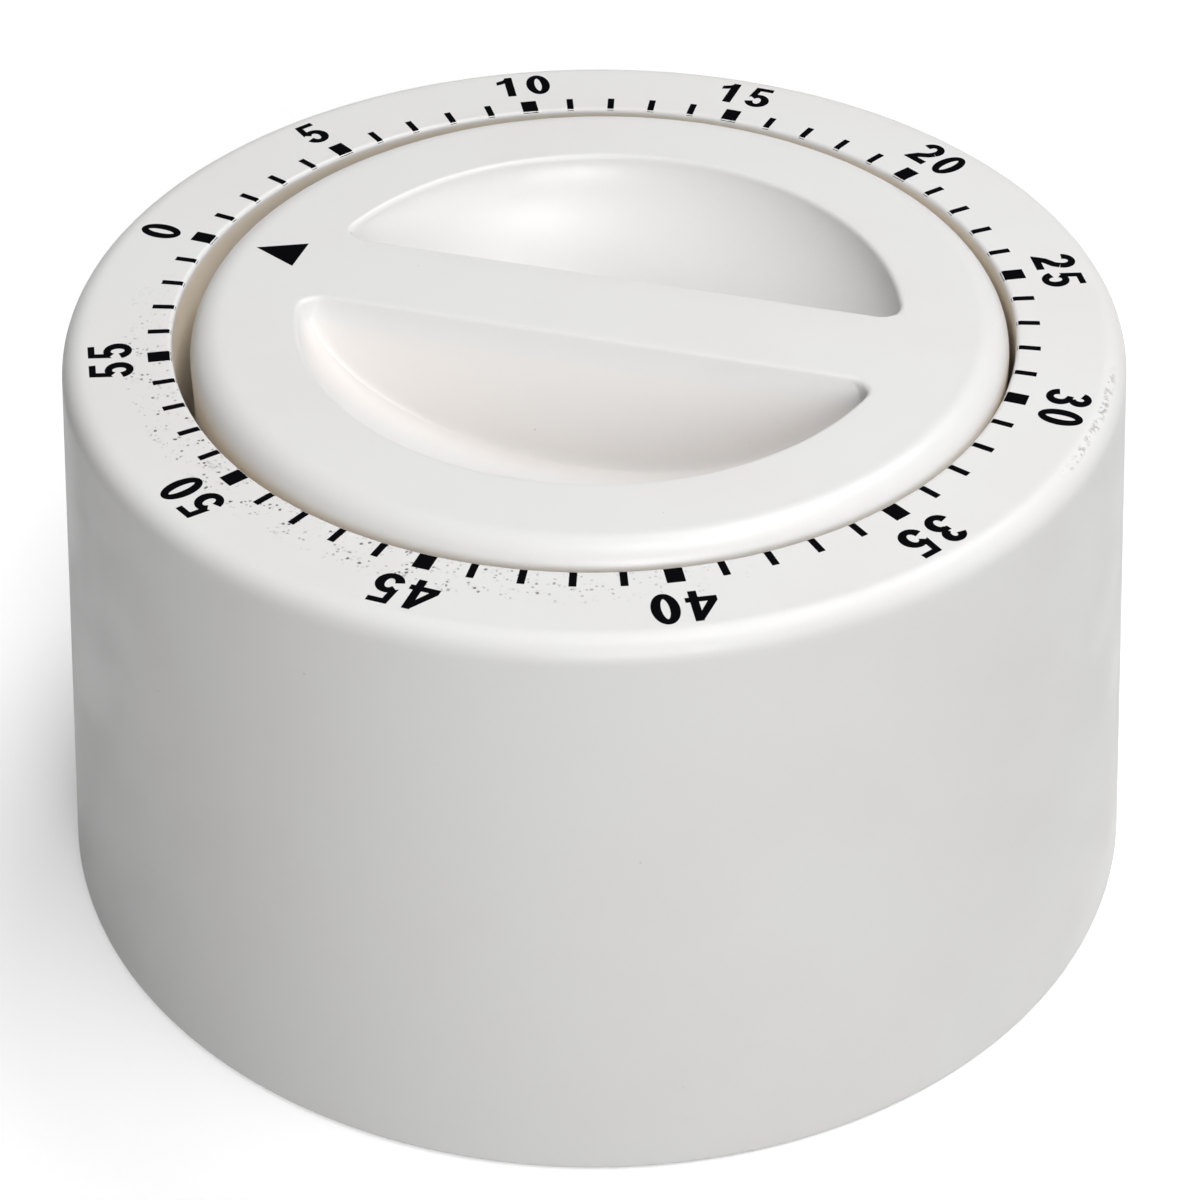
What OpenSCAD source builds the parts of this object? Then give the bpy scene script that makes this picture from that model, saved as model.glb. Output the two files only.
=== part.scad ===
// Mechanical 60 minute kitchen timer: a drum case with a printed dial ring, a flush turning knob
// with two finger scoops, and a spring movement with a bell inside.
// Millimetres. The timer stands on z = 0 with its main arbor on the Z axis.

/* [Case] */
// Diameter of the case where it stands on the table
case_base_d = 73.1; // [72:0.1:80]
// Diameter that the straight side would reach at the dial ring
case_top_d = 66.7; // [65:0.1:70]
// Height of the dial ring above the table
case_h = 38.9; // [38:0.1:46]
// Wall of the case
case_wall = 1.8; // [1.4:0.1:2.2]
// Rounding between the side and the dial ring
case_edge_r = 1.5; // [0.8:0.1:2.2]
// Rounding of the dial ring's inner lip
lip_r = 0.3; // [0.2:0.1:1]
// Wall of the well that the knob turns in
well_wall = 1.2; // [1:0.1:1.3]
// Thickness of the deck under the knob
deck_t = 1.6; // [1.2:0.1:2]
// Radius of the posts that take the cover screws
cover_post_r = 2.5; // [2.2:0.1:2.7]
// Radius of the short bosses that carry the movement
deck_boss_r = 2.4; // [2:0.1:2.8]
// Height of the short bosses that carry the movement
deck_boss_h = 2.8; // [2.7:0.1:3.4]

/* [Knob] */
// Diameter of the knob
knob_d = 51.6; // [50:0.1:52]
// Gap between the knob and the dial ring's hole
knob_gap = 0.75; // [0.4:0.05:0.9]
// Height of the knob's face above the dial ring
knob_stand = 0.8; // [0.4:0.1:2]
// Depth of the knob from its face to the edge of its skirt
knob_h = 10.1; // [10:0.1:11]
// Rounding of the knob's upper edge
knob_edge_r = 2; // [1:0.1:2.5]
// Wall of the knob
knob_wall = 1.5; // [1.2:0.1:1.6]
// Diameter of the circle that bounds the two finger scoops
scoop_d = 38.4; // [37:0.1:40]
// Depth of the finger scoops
scoop_depth = 7.8; // [6:0.1:8]
// Width of the grip bar between the scoops
bar_w = 7.2; // [5.5:0.1:8]
// Slope of the grip bar's sides, in degrees from upright
bar_draft = 25; // [10:1:28]
// Rounding of the scoops' mouths
mouth_r = 0.8; // [0.6:0.1:1.4]
// Radius of the knob's boss round the main arbor
knob_boss_r = 4.2; // [3.6:0.1:4.6]
// Direction of the dial's 0 mark, in degrees from +X
zero_angle = 159.3; // [150:0.1:170]
// Direction of the grip bar with the knob at its stop, in degrees from +X
knob_angle = 163.7; // [155:0.1:168]
// Turn of the knob from 0 to its stop, in degrees
knob_travel = 354; // [348:1:355]

/* [Base] */
// Thickness of the base cover
cover_t = 1.8; // [1.4:0.1:2.2]
// Depth of the base cover's face inside the case's foot
cover_recess = 0.6; // [0.4:0.1:0.8]
// Number of sound slots in the base cover
slot_count = 10; // [6:1:12]
// Width of a sound slot
slot_w = 1.6; // [1:0.1:2]
// Outer diameter of the bell
bell_d = 44; // [43:0.1:45]
// Wall of the bell
bell_t = 0.8; // [0.6:0.1:0.9]
// Gap between the bell's rim and the lower movement plate
bell_gap = 0.7; // [0.5:0.1:1]

/* [Movement] */
// Diameter of the two movement plates
plate_d = 55; // [54.5:0.1:55.2]
// Thickness of the movement plates
plate_t = 1; // [0.8:0.1:1.2]
// Height between the movement plates
movement_h = 11; // [11:0.1:11.4]
// Radius of the four plate pillars
pillar_r = 1.8; // [1.5:0.1:1.9]
// Radius of the main arbor where the mainspring winds on it
arbor_core_r = 3.2; // [2.8:0.1:3.6]
// Radius of the main arbor above the movement
arbor_top_r = 2.2; // [1.8:0.1:2.3]
// Width of the mainspring strip
spring_w = 4; // [3:0.1:4.1]
// Thickness of the mainspring strip
spring_t = 0.35; // [0.2:0.05:0.45]
// Turns of the mainspring as it lies at rest
spring_turns = 6; // [5:0.5:7]
// Thickness of the great wheel
great_t = 1; // [0.8:0.1:1.1]
// Thickness of the other wheels
wheel_t = 0.8; // [0.6:0.1:0.9]

/* [Gear train] */
// Teeth of the great wheel
great_teeth = 54; // [50:2:54]
// Teeth of every pinion
pinion_teeth = 12; // [12:1:13]
// Teeth of the second and of the third wheel
wheel_teeth = 48; // [44:2:48]
// Module of the great wheel and its pinions
great_module = 0.5; // [0.48:0.01:0.5]
// Module of the second wheel and its pinion
second_module = 0.4; // [0.38:0.01:0.4]
// Module of the third wheel and its pinion
third_module = 0.35; // [0.33:0.01:0.35]
// Play between meshing teeth
backlash = 0.14; // [0.1:0.01:0.2]
// Teeth of the escape wheel
escape_teeth = 15; // [12:1:18]
// Radius of the escape wheel
escape_r = 6; // [5.6:0.1:6.1]
// Teeth of the strike wheel
strike_teeth = 10; // [8:1:12]
// Radius of the strike wheel
strike_r = 4.6; // [4.2:0.1:4.7]
// Swing of the escapement's pallets to each side, in degrees
pallet_swing = 4; // [3:0.5:5]
// Swing of the bell hammer's verge to each side, in degrees
hammer_swing = 5; // [4:0.5:5]

/* [Hidden] */
$fn = 64;

// Clearances
seat_gap = 0.01;    // wheel pressed on its arbor
run_gap = 0.05;     // pivot turning in a plate
loose_gap = 0.25;   // pieces that pass each other
wide_gap = 0.5;     // pieces that must never meet
stop_gap = 0.3;     // degrees between the knob's stop rib and the stop post
slip = 0.1;         // end play of an arbor between the plates
over = 1;           // how far a cut runs past a face

// Fasteners
screw_r = 0.9;
screw_head_r = 1.8;
screw_head_h = 1.2;
screw_slot_l = 2.2;
screw_slot_w = 0.4;
screw_slot_h = 0.6;
screw_sink = 0.6;           // how deep a cover screw's head lies in the cover
cover_screw_len = 6;
cover_boss_r = 3;           // ears of the base cover round its screws
cover_boss_h = 1.6;
bell_screw_len = 3;
bell_boss_r = 3.4;
bell_boss_h = 2;
bell_washer_r = 3;
bell_washer_t = 0.3;
movement_screw_len = 2.4;   // thread above the upper plate
pillar_stud_r = 1;
pillar_stud_over = 0.3;     // how far a stud stands out below the lower plate
nut_d = 4;                  // across flats
nut_h = 1.5;

// Small sizes of the movement
shaft_r = 0.9;
pivot_r = 0.6;
collar_r = 1.6;
arbor_foot_r = 1.5;
wheel_seat_r = 2.5;
ratchet_t = 0.7;
pinion_over = 0.25;         // how far a pinion is longer than its wheel, at each end
level_gap = 0.55;           // between the click and the second wheel
upper_level_gap = 0.9;      // between the second wheel and the third
spring_foot_gap = 0.3;      // under the mainspring
spring_head_gap = 0.4;      // over the mainspring
cam_r = 8;
cam_t = 1;
cam_gap = 0.3;              // between the upper plate and the zero cam

// Heights, from the dial ring down to the base cover
knob_z = case_h + knob_stand;
skirt_z = knob_z - knob_h;
deck_top_z = skirt_z - wide_gap - slip;
deck_z = deck_top_z - deck_t;
upper_top_z = deck_z - deck_boss_h;
upper_z = upper_top_z - plate_t;
train_z = upper_z - movement_h;
lower_z = train_z - plate_t;
cover_top_z = cover_recess + cover_t;
bell_seat_z = cover_top_z + bell_boss_h;
bell_z = bell_seat_z + bell_washer_t;
bell_h = lower_z - bell_gap - bell_z;

// Heights in the gear train, from the lower plate up
spring_z = train_z + spring_foot_gap;
great_z = spring_z + spring_w + spring_head_gap;
great_top_z = great_z + great_t;
ratchet_z = great_top_z + run_gap;
second_z = ratchet_z + ratchet_t + level_gap;
third_z = second_z + wheel_t + upper_level_gap;
cam_z = upper_top_z + cam_gap;

// Radii
base_r = case_base_d / 2;
top_r = case_top_d / 2;
taper = (base_r - top_r) / case_h;
knob_r = knob_d / 2;
hole_r = knob_r + knob_gap;
scoop_r = scoop_d / 2;
plate_r = plate_d / 2;
bell_r = bell_d / 2;
cover_post_at = plate_r + wide_gap + cover_post_r;
function side_r(z) = base_r - taper * z;
function inner_r(z) = side_r(z) - case_wall;

// Places of the arbors, seen from above
function polar(r, a) = [r * cos(a), r * sin(a)];
function direction(p) = atan2(p.y, p.x);
great_to_pinion = great_module * (great_teeth + pinion_teeth) / 2;
second_to_third = second_module * (wheel_teeth + pinion_teeth) / 2;
third_to_escape = third_module * (wheel_teeth + pinion_teeth) / 2;
pallet_reach = 2.5;         // from the escape wheel's tips to the pallets' arbor
verge_reach = 3.16;         // from the strike wheel's tips to the hammer's arbor
release_reach = 18.5;
spring_post_reach = 15.1;
second_dir = 0;
third_dir = 110;
escape_dir = 150;
pallet_dir = 160;
strike_dir = 200;
hammer_dir = 292.7;
release_dir = 175;
spring_post_dir = 290;
second_at = polar(great_to_pinion, second_dir);
third_at = second_at + polar(second_to_third, third_dir);
escape_at = third_at + polar(third_to_escape, escape_dir);
pallet_at = escape_at + polar(escape_r + pallet_reach, pallet_dir);
strike_at = polar(great_to_pinion, strike_dir);
hammer_at = strike_at + polar(strike_r + verge_reach, hammer_dir);
release_at = polar(release_reach, release_dir);
spring_post_at = polar(spring_post_reach, spring_post_dir);

// Places of the fasteners
pillar_inset = 2.5;
boss_inset = 3;
pillar_dirs = [65, 135, 250, 318];
pillar_at = plate_r - pillar_inset;
deck_boss_dirs = [100, 220, 340];
deck_boss_at = plate_r - boss_inset;
cover_post_dirs = [90, 210, 330];

// Gear teeth: involute flanks worked out from the base circle

pressure = 25;
addendum = 0.95;
dedendum = 1.25;
flank_steps = 3;
function involute(a) = tan(a) * 180 / PI - a;
function flank_angle(r, rp, half) =
    half + involute(pressure) - involute(acos(min(1, rp * cos(pressure) / r)));
function flank(rp, half, low, high) = [
    for (i = [0:flank_steps])
        let (r = low + (high - low) * i / flank_steps) [r, flank_angle(r, rp, half)]
];
function tooth(rp, m, half) =
    let (
        base = rp * cos(pressure),
        root = rp - dedendum * m,
        side = flank(rp, half, max(root, base), rp + addendum * m),
        foot = root < base ? [[root, side[0][1]]] : []
    ) concat(foot, side);
function gear_outline(teeth, m) =
    let (
        rp = m * teeth / 2,
        half = 90 / teeth - backlash / 4 / rp * 180 / PI,
        side = tooth(rp, m, half),
        last = len(side) - 1
    ) [
        for (i = [0:teeth - 1])
            for (j = [0:2 * last + 1])
                let (
                    up = j <= last,
                    p = side[up ? j : 2 * last + 1 - j]
                ) polar(p[0], 360 * i / teeth + (up ? -p[1] : p[1]))
    ];

// Turn of a pinion so that it meshes with a wheel whose tooth points along wheel_turn
function mesh_turn(dir, teeth, mate_teeth, wheel_turn) =
    dir + 180 + 180 / teeth - (wheel_turn - dir) * mate_teeth / teeth;

// Pointed teeth that lean one way, as on an escape wheel or a ratchet
function saw_outline(teeth, tip, root, lean) = [
    for (i = [0:teeth - 1])
        for (p = [[root, 0], [tip, lean], [root, 1]])
            polar(p[0], 360 * (i + p[1] * 0.98) / teeth)
];

// An arc of points, angles in degrees
function arc(c, r, from, to, steps) = [
    for (i = [0:steps]) c + polar(r, from + (to - from) * i / steps)
];

module at(p, z = 0) {
    translate([p.x, p.y, z]) children();
}

module ring_of(dirs, r) {
    for (a = dirs) at(polar(r, a)) rotate(a) children();
}

// A flat bar with round ends between two points
module bar(from, to, w, t) {
    along = to - from;
    at(from) cylinder(r = w / 2, h = t);
    at(to) cylinder(r = w / 2, h = t);
    at(from) rotate(direction(along)) translate([0, -w / 2, 0]) cube([norm(along), w, t]);
}

// Case, knob and base

deck_hole_gap = 0.8;

module case_profile() {
    edge_z = case_h - case_edge_r;
    ring_r = side_r(edge_z) - case_edge_r;
    polygon(concat(
        [[base_r, 0]],
        arc([ring_r, edge_z], case_edge_r, 0, 90, 8),
        arc([hole_r + lip_r, case_h - lip_r], lip_r, 90, 180, 6),
        [
            [hole_r, deck_top_z],
            [arbor_top_r + deck_hole_gap, deck_top_z],
            [arbor_top_r + deck_hole_gap, deck_z],
            [hole_r + well_wall, deck_z],
            [hole_r + well_wall, case_h - case_wall],
            [inner_r(case_h - case_wall), case_h - case_wall],
            [base_r - case_wall, 0]
        ]
    ));
}

// The knob's stop rib and the deck's stop post share the turn that is left over
stop_deg = (360 - knob_travel) / 2 - stop_gap;
stop_dir = 20;
stop_w = 2.7;
stop_h = 3;
stop_r = knob_r - knob_wall - loose_gap - run_gap - stop_w;

module cover_post() {
    foot_z = cover_top_z + cover_boss_h + run_gap;
    translate([0, 0, foot_z]) cylinder(r = cover_post_r, h = case_h - case_wall / 2 - foot_z);
}

post_rib_w = 1.2;

// The rib runs from the post into the middle of the case's wall
module cover_post_rib() {
    foot_z = cover_top_z + cover_boss_h + 2 * over;
    head_z = case_h - case_wall;
    rotate([90, 0, 0]) translate([0, 0, -post_rib_w / 2]) linear_extrude(post_rib_w) polygon([
        [cover_post_at, foot_z],
        [side_r(foot_z) - case_wall / 2, foot_z],
        [side_r(head_z) - case_wall / 2, head_z],
        [cover_post_at, head_z]
    ]);
}

module case() {
    color("white") difference() {
        union() {
            rotate_extrude($fn = 128) case_profile();
            ring_of(cover_post_dirs, cover_post_at) cover_post();
            for (a = cover_post_dirs) rotate(a) cover_post_rib();
            ring_of(deck_boss_dirs, deck_boss_at)
                translate([0, 0, upper_top_z]) cylinder(r = deck_boss_r, h = deck_boss_h + deck_t / 2);
            rotate(stop_dir + stop_gap) rotate_extrude(angle = stop_deg)
                translate([stop_r, deck_top_z - deck_t / 2]) square([stop_w, stop_h + deck_t / 2]);
        }
        ring_of(cover_post_dirs, cover_post_at) {
            cylinder(r = screw_r + run_gap, h = cover_screw_z + cover_screw_len + wide_gap);
            // Where the wall stands close, the head's pocket runs into it
            translate([0, 0, -over]) cylinder(r = screw_head_r + loose_gap, h = cover_screw_z + over);
        }
        ring_of(deck_boss_dirs, deck_boss_at)
            translate([0, 0, upper_z])
                cylinder(r = screw_r + run_gap, h = plate_t + movement_screw_len + slip);
    }
}

// One quarter of a bowl of revolution below its rim, round near the rim and flat at the bottom
bowl_power = 2.2;
bowl_fall = 0.8;
bowl_steps = 12;
function bowl(r, top, bottom) = [
    for (i = [1:bowl_steps])
        let (a = 90 * i / bowl_steps)
            [r * pow(max(0, cos(a)), 2 / bowl_power), top - (top - bottom) * pow(sin(a), 2 * bowl_fall)]
];

// Space of one scoop on the +Y side of the grip bar, below the knob's face at z = 0
module scoop() {
    reach = scoop_r + mouth_r + over;
    intersection() {
        rotate_extrude($fn = 96) polygon(concat(
            [[0, over], [scoop_r + mouth_r, over]],
            arc([scoop_r + mouth_r, -mouth_r], mouth_r, 90, 180, 5),
            bowl(scoop_r, -mouth_r, -scoop_depth)
        ));
        rotate([90, 0, 90]) translate([0, 0, -reach]) linear_extrude(2 * reach) polygon(concat(
            [[bar_w / 2 - 2 * mouth_r, 2 * over]],
            arc([bar_w / 2 - mouth_r * tan(45 - bar_draft / 2), -mouth_r], mouth_r, 90, bar_draft, 5),
            [
                [bar_w / 2 + tan(bar_draft) * (scoop_depth + over), -scoop_depth - over],
                [reach + over, -scoop_depth - over],
                [reach + over, 2 * over]
            ]
        ));
    }
}

// The same space with the knob's wall round it, from inside the knob's top down
module scoop_shell() {
    wide = scoop_r + knob_wall;
    deep = scoop_depth + knob_wall;
    corner = bar_w / 2 - knob_wall / cos(bar_draft);
    intersection() {
        rotate_extrude($fn = 96) polygon(concat(
            [[0, -knob_wall / 2], [wide, -knob_wall / 2]],
            bowl(wide, -knob_wall / 2, -deep)
        ));
        rotate([90, 0, 90]) translate([0, 0, -wide - over]) linear_extrude(2 * wide + 2 * over) polygon([
            [corner, 0],
            [corner + tan(bar_draft) * (deep + over), -deep - over],
            [wide + over, -deep - over],
            [wide + over, 0]
        ]);
    }
}

module knob_shell() {
    rotate_extrude($fn = 128) polygon(concat(
        [[0, knob_z]],
        arc([knob_r - knob_edge_r, knob_z - knob_edge_r], knob_edge_r, 90, 0, 8),
        [
            [knob_r, skirt_z],
            [knob_r - knob_wall, skirt_z],
            [knob_r - knob_wall, knob_z - knob_edge_r],
            [knob_r - knob_edge_r, knob_z - knob_wall],
            [0, knob_z - knob_wall]
        ]
    ));
}

arbor_flat_at = arbor_top_r * 0.62;

// Outline of the flatted top of the main arbor
module flatted(r, h) {
    difference() {
        cylinder(r = r, h = h);
        translate([-r, arbor_flat_at + r - arbor_top_r, -over]) cube([2 * r, 2 * r, h + 2 * over]);
    }
}

arbor_end_depth = 3.2;
arbor_end_z = knob_z - arbor_end_depth;

module knob() {
    color("white") difference() {
        union() {
            knob_shell();
            for (a = [0, 180]) rotate(knob_angle + a) translate([0, 0, knob_z]) scoop_shell();
            translate([0, 0, skirt_z]) cylinder(r = knob_boss_r, h = knob_h - knob_wall / 2);
            rotate(stop_dir - stop_deg) rotate_extrude(angle = stop_deg)
                translate([stop_r, skirt_z + loose_gap])
                    square([knob_r - knob_wall / 2 - stop_r, knob_h - knob_edge_r]);
        }
        for (a = [0, 180]) rotate(knob_angle + a) translate([0, 0, knob_z]) scoop();
        translate([0, 0, skirt_z - over])
            flatted(arbor_top_r + seat_gap, arbor_end_z + slip - skirt_z + over);
    }
}

cover_r = inner_r(cover_top_z) - loose_gap - run_gap;
cover_screw_z = cover_recess + screw_head_h + screw_sink;
cover_rib_in = 4;           // from the screws to the stiffening rib
cover_rib_w = 1.2;
cover_rib_h = 1.2;
slot_from = 8;
slot_to = 20;

module base_cover() {
    color("whitesmoke") difference() {
        union() {
            intersection() {
                translate([0, 0, cover_recess]) cylinder(r = cover_r, h = cover_t + cover_boss_h, $fn = 128);
                union() {
                    cylinder(r = cover_r + over, h = cover_top_z);
                    ring_of(cover_post_dirs, cover_post_at)
                        cylinder(r = cover_boss_r, h = cover_top_z + cover_boss_h);
                }
            }
            translate([0, 0, cover_recess]) cylinder(r = bell_boss_r, h = bell_seat_z - cover_recess);
            translate([0, 0, cover_top_z - over]) difference() {
                cylinder(r = cover_post_at - cover_rib_in, h = over + cover_rib_h);
                translate([0, 0, -over])
                    cylinder(r = cover_post_at - cover_rib_in - cover_rib_w, h = 3 * over + cover_rib_h);
            }
        }
        ring_of(cover_post_dirs, cover_post_at) {
            cylinder(r = screw_r + loose_gap, h = cover_top_z + cover_boss_h + over);
            translate([0, 0, cover_recess - over])
                cylinder(r = screw_head_r + loose_gap, h = cover_screw_z - cover_recess + over);
        }
        for (i = [0:slot_count - 1])
            rotate(i * 360 / slot_count) translate([slot_from, -slot_w / 2, 0])
                cube([slot_to - slot_from, slot_w, cover_top_z + over]);
        translate([0, 0, bell_z + bell_t - bell_screw_len - wide_gap])
            cylinder(r = screw_r + run_gap, h = 2 * bell_screw_len);
    }
}

// A pan head screw, its head below z = 0 and its shank above
module screw(len) {
    difference() {
        union() {
            translate([0, 0, -screw_head_h]) cylinder(r = screw_head_r, h = screw_head_h);
            cylinder(r = screw_r, h = len);
        }
        for (a = [0, 90]) rotate(a) translate([-screw_slot_l / 2, -screw_slot_w / 2, -screw_head_h - over])
            cube([screw_slot_l, screw_slot_w, screw_slot_h + over]);
    }
}

module cover_screws() {
    color("silver") ring_of(cover_post_dirs, cover_post_at)
        translate([0, 0, cover_screw_z]) screw(cover_screw_len);
}

// The bell and its fixing

// Rounding between the bell's floor and its wall, no more than half its height
bell_fillet = min(3, bell_h / 2);

module bell() {
    color("silver") translate([0, 0, bell_z]) rotate_extrude($fn = 96) polygon(concat(
        [[screw_r + loose_gap, bell_t], [screw_r + loose_gap, 0]],
        arc([bell_r - bell_fillet, bell_fillet], bell_fillet, -90, 0, 6),
        [[bell_r, bell_h], [bell_r - bell_t, bell_h]],
        arc([bell_r - bell_fillet, bell_fillet], bell_fillet - bell_t, 0, -90, 6)
    ));
}

module bell_washer() {
    color("dimgray") translate([0, 0, bell_seat_z]) difference() {
        cylinder(r = bell_washer_r, h = bell_washer_t);
        translate([0, 0, -over]) cylinder(r = screw_r + slip, h = 3 * over);
    }
}

module bell_screw() {
    color("silver") translate([0, 0, bell_z + bell_t]) mirror([0, 0, 1]) screw(bell_screw_len);
}

// Movement plates and what joins them

module plate(z, pivots, through) {
    difference() {
        translate([0, 0, z]) cylinder(r = plate_r, h = plate_t, $fn = 96);
        for (p = pivots) at(p, z - over) cylinder(r = pivot_r + run_gap, h = plate_t + 2 * over);
        for (p = through) at(p, z - over) cylinder(r = shaft_r + run_gap, h = plate_t + 2 * over);
        ring_of(pillar_dirs, pillar_at)
            translate([0, 0, z - over]) cylinder(r = pillar_stud_r + seat_gap, h = plate_t + 2 * over);
        children();
    }
}

module upper_plate() {
    color("goldenrod")
        plate(upper_z, [second_at, third_at, escape_at, pallet_at, strike_at, hammer_at], [release_at]) {
            translate([0, 0, upper_z - over]) cylinder(r = arbor_top_r + run_gap, h = plate_t + 2 * over);
            ring_of(deck_boss_dirs, deck_boss_at)
                translate([0, 0, upper_z - over]) cylinder(r = screw_r + slip, h = plate_t + 2 * over);
        }
}

module lower_plate() {
    color("goldenrod")
        plate(lower_z, [second_at, third_at, escape_at, pallet_at, strike_at, release_at], [hammer_at]) {
            translate([0, 0, lower_z - over]) cylinder(r = arbor_foot_r + run_gap, h = plate_t + 2 * over);
            at(spring_post_at, lower_z - over) cylinder(r = spring_post_r + seat_gap, h = plate_t + 2 * over);
            // Holes for the screwdriver that turns the movement screws
            ring_of(deck_boss_dirs, deck_boss_at)
                translate([0, 0, lower_z - over])
                    cylinder(r = screw_head_r + loose_gap, h = plate_t + 2 * over);
        }
}

module plate_pillars() {
    color("silver") ring_of(pillar_dirs, pillar_at) {
        translate([0, 0, train_z]) cylinder(r = pillar_r, h = movement_h);
        translate([0, 0, lower_z - pillar_stud_over])
            cylinder(r = pillar_stud_r, h = movement_h + 2 * plate_t + nut_h + pillar_stud_over);
    }
}

module pillar_nuts() {
    color("silver") ring_of(pillar_dirs, pillar_at) translate([0, 0, upper_top_z]) difference() {
        cylinder(d = nut_d / cos(30), h = nut_h, $fn = 6);
        translate([0, 0, -over]) cylinder(r = pillar_stud_r + seat_gap, h = nut_h + 2 * over);
    }
}

module movement_screws() {
    color("silver") ring_of(deck_boss_dirs, deck_boss_at)
        translate([0, 0, upper_z]) screw(plate_t + movement_screw_len);
}

// Main arbor and what turns with it

module main_arbor() {
    color("silver") {
        translate([0, 0, lower_z + slip]) cylinder(r = arbor_foot_r, h = plate_t);
        translate([0, 0, train_z + slip]) cylinder(r = arbor_core_r, h = great_z - train_z - slip);
        translate([0, 0, great_z]) cylinder(r = wheel_seat_r, h = upper_z - slip - great_z);
        translate([0, 0, upper_z - slip - over]) cylinder(r = arbor_top_r, h = cam_z + over + slip - upper_z);
        translate([0, 0, cam_z]) flatted(arbor_top_r, arbor_end_z - cam_z);
    }
}

// The mainspring: a flat strip wound from the arbor out to its post
spring_post_r = 1.2;
spring_seat_gap = 0.08;
spring_in_r = arbor_core_r + 2 * spring_seat_gap + spring_t / 2;
spring_out_r = norm(spring_post_at) - spring_post_r - spring_t / 2 - spring_seat_gap;
spring_steps = 22;
spring_end_dir = direction(spring_post_at) + 360;
function spring_path() =
    let (n = floor(spring_turns * spring_steps))
    [for (i = [0:n]) polar(
        spring_in_r + (spring_out_r - spring_in_r) * i / n,
        spring_end_dir - 360 * spring_turns * (n - i) / n
    )];
// The end of the strip folds round the post
function spring_fold() = arc(
    spring_post_at, spring_post_r + spring_seat_gap + spring_t / 2,
    spring_end_dir + 180, spring_end_dir - 40, 10
);
function offset_path(path, d) = [
    for (i = [0:len(path) - 1])
        let (
            a = path[max(0, i - 1)],
            b = path[min(len(path) - 1, i + 1)],
            along = (b - a) / norm(b - a)
        ) path[i] + d * [-along.y, along.x]
];
function backwards(list) = [for (i = [len(list) - 1:-1:0]) list[i]];

module strip(path, t, h) {
    linear_extrude(h) polygon(concat(offset_path(path, t / 2), backwards(offset_path(path, -t / 2))));
}

module mainspring() {
    path = spring_path();
    last = len(path) - 1;
    color("steelblue") translate([0, 0, spring_z])
        strip(concat([for (i = [0:last - 1]) path[i]], spring_fold()), spring_t, spring_w);
    echo("space between the mainspring's turns",
        (spring_out_r - spring_in_r) / spring_turns - spring_t);
}

module spring_post() {
    color("silver") at(spring_post_at, lower_z)
        cylinder(r = spring_post_r, h = plate_t + spring_foot_gap + spring_w + 2 * slip);
}

// A wheel with crossings between its hub and its rim
hub_w = 1.8;
rim_w = 1.4;
arm_w = 1.6;

module wheel(teeth, m, bore, t, arms = 4) {
    hub = bore + hub_w;
    rim = m * teeth / 2 - dedendum * m - rim_w;
    difference() {
        linear_extrude(t) polygon(gear_outline(teeth, m));
        translate([0, 0, -over]) cylinder(r = bore, h = t + 2 * over);
        difference() {
            translate([0, 0, -over]) cylinder(r = rim, h = t + 2 * over);
            translate([0, 0, -2 * over]) cylinder(r = hub, h = t + 4 * over);
            for (i = [0:arms - 1]) rotate(i * 360 / arms)
                translate([0, -arm_w / 2, -2 * over]) cube([rim + over, arm_w, t + 4 * over]);
        }
    }
}

click_pin_reach = 9;
click_pin_at = polar(click_pin_reach, 0);
click_pin_r = 0.6;
click_pin_head_r = 1;
click_pin_head_h = 0.25;
click_pad_r = 1.8;
click_foot_reach = 10.2;
click_foot_at = polar(click_foot_reach, 26);
click_foot_r = 0.8;
click_foot_pad_r = 1.4;
click_leaf_w = 0.3;
click_lever_r = 1.4;
ratchet_teeth = 16;
ratchet_r = 5.4;
ratchet_root = 4.5;

module great_wheel() {
    color("goldenrod") translate([0, 0, great_z]) difference() {
        union() {
            wheel(great_teeth, great_module, wheel_seat_r + seat_gap, great_t, 3);
            at(click_pin_at) cylinder(r = click_pad_r, h = great_t);
            at(click_foot_at) cylinder(r = click_foot_pad_r, h = great_t);
        }
        at(click_pin_at, -over) cylinder(r = click_pin_r + seat_gap, h = great_t + 2 * over);
    }
}

module ratchet_wheel() {
    color("silver") translate([0, 0, ratchet_z]) difference() {
        rotate(ratchet_turn)
            linear_extrude(ratchet_t) polygon(saw_outline(ratchet_teeth, ratchet_r, ratchet_root, 1));
        translate([0, 0, -over]) cylinder(r = wheel_seat_r + seat_gap, h = ratchet_t + 2 * over);
    }
}

// The click hooks the ratchet from behind, so that the arbor drives the great wheel one way
click_w = 0.8;
click_arm_r = ratchet_r + click_w / 2 + slip + run_gap;
click_turn = acos(click_arm_r / click_pin_reach);
click_bend_at = polar(click_arm_r, -click_turn);
click_nose_at = polar((ratchet_root + ratchet_r + click_w) / 2 - slip, -click_turn - 3);
// The ratchet's nearest tooth face stands just behind the click's nose
ratchet_turn = -click_turn - 8.4 - 0.98 * 360 / ratchet_teeth;

module click() {
    color("silver") translate([0, 0, ratchet_z]) difference() {
        union() {
            at(click_pin_at) cylinder(r = click_lever_r, h = ratchet_t);
            bar(click_pin_at, click_bend_at, click_w, ratchet_t);
            bar(click_bend_at, click_nose_at, click_w, ratchet_t);
        }
        at(click_pin_at, -over) cylinder(r = click_pin_r + run_gap, h = ratchet_t + 2 * over);
    }
}

module click_pin() {
    color("silver") at(click_pin_at) {
        translate([0, 0, great_z])
            cylinder(r = click_pin_r, h = ratchet_z + ratchet_t + slip + click_pin_head_h - great_z);
        translate([0, 0, ratchet_z + ratchet_t + slip]) cylinder(r = click_pin_head_r, h = click_pin_head_h);
    }
}

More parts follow.
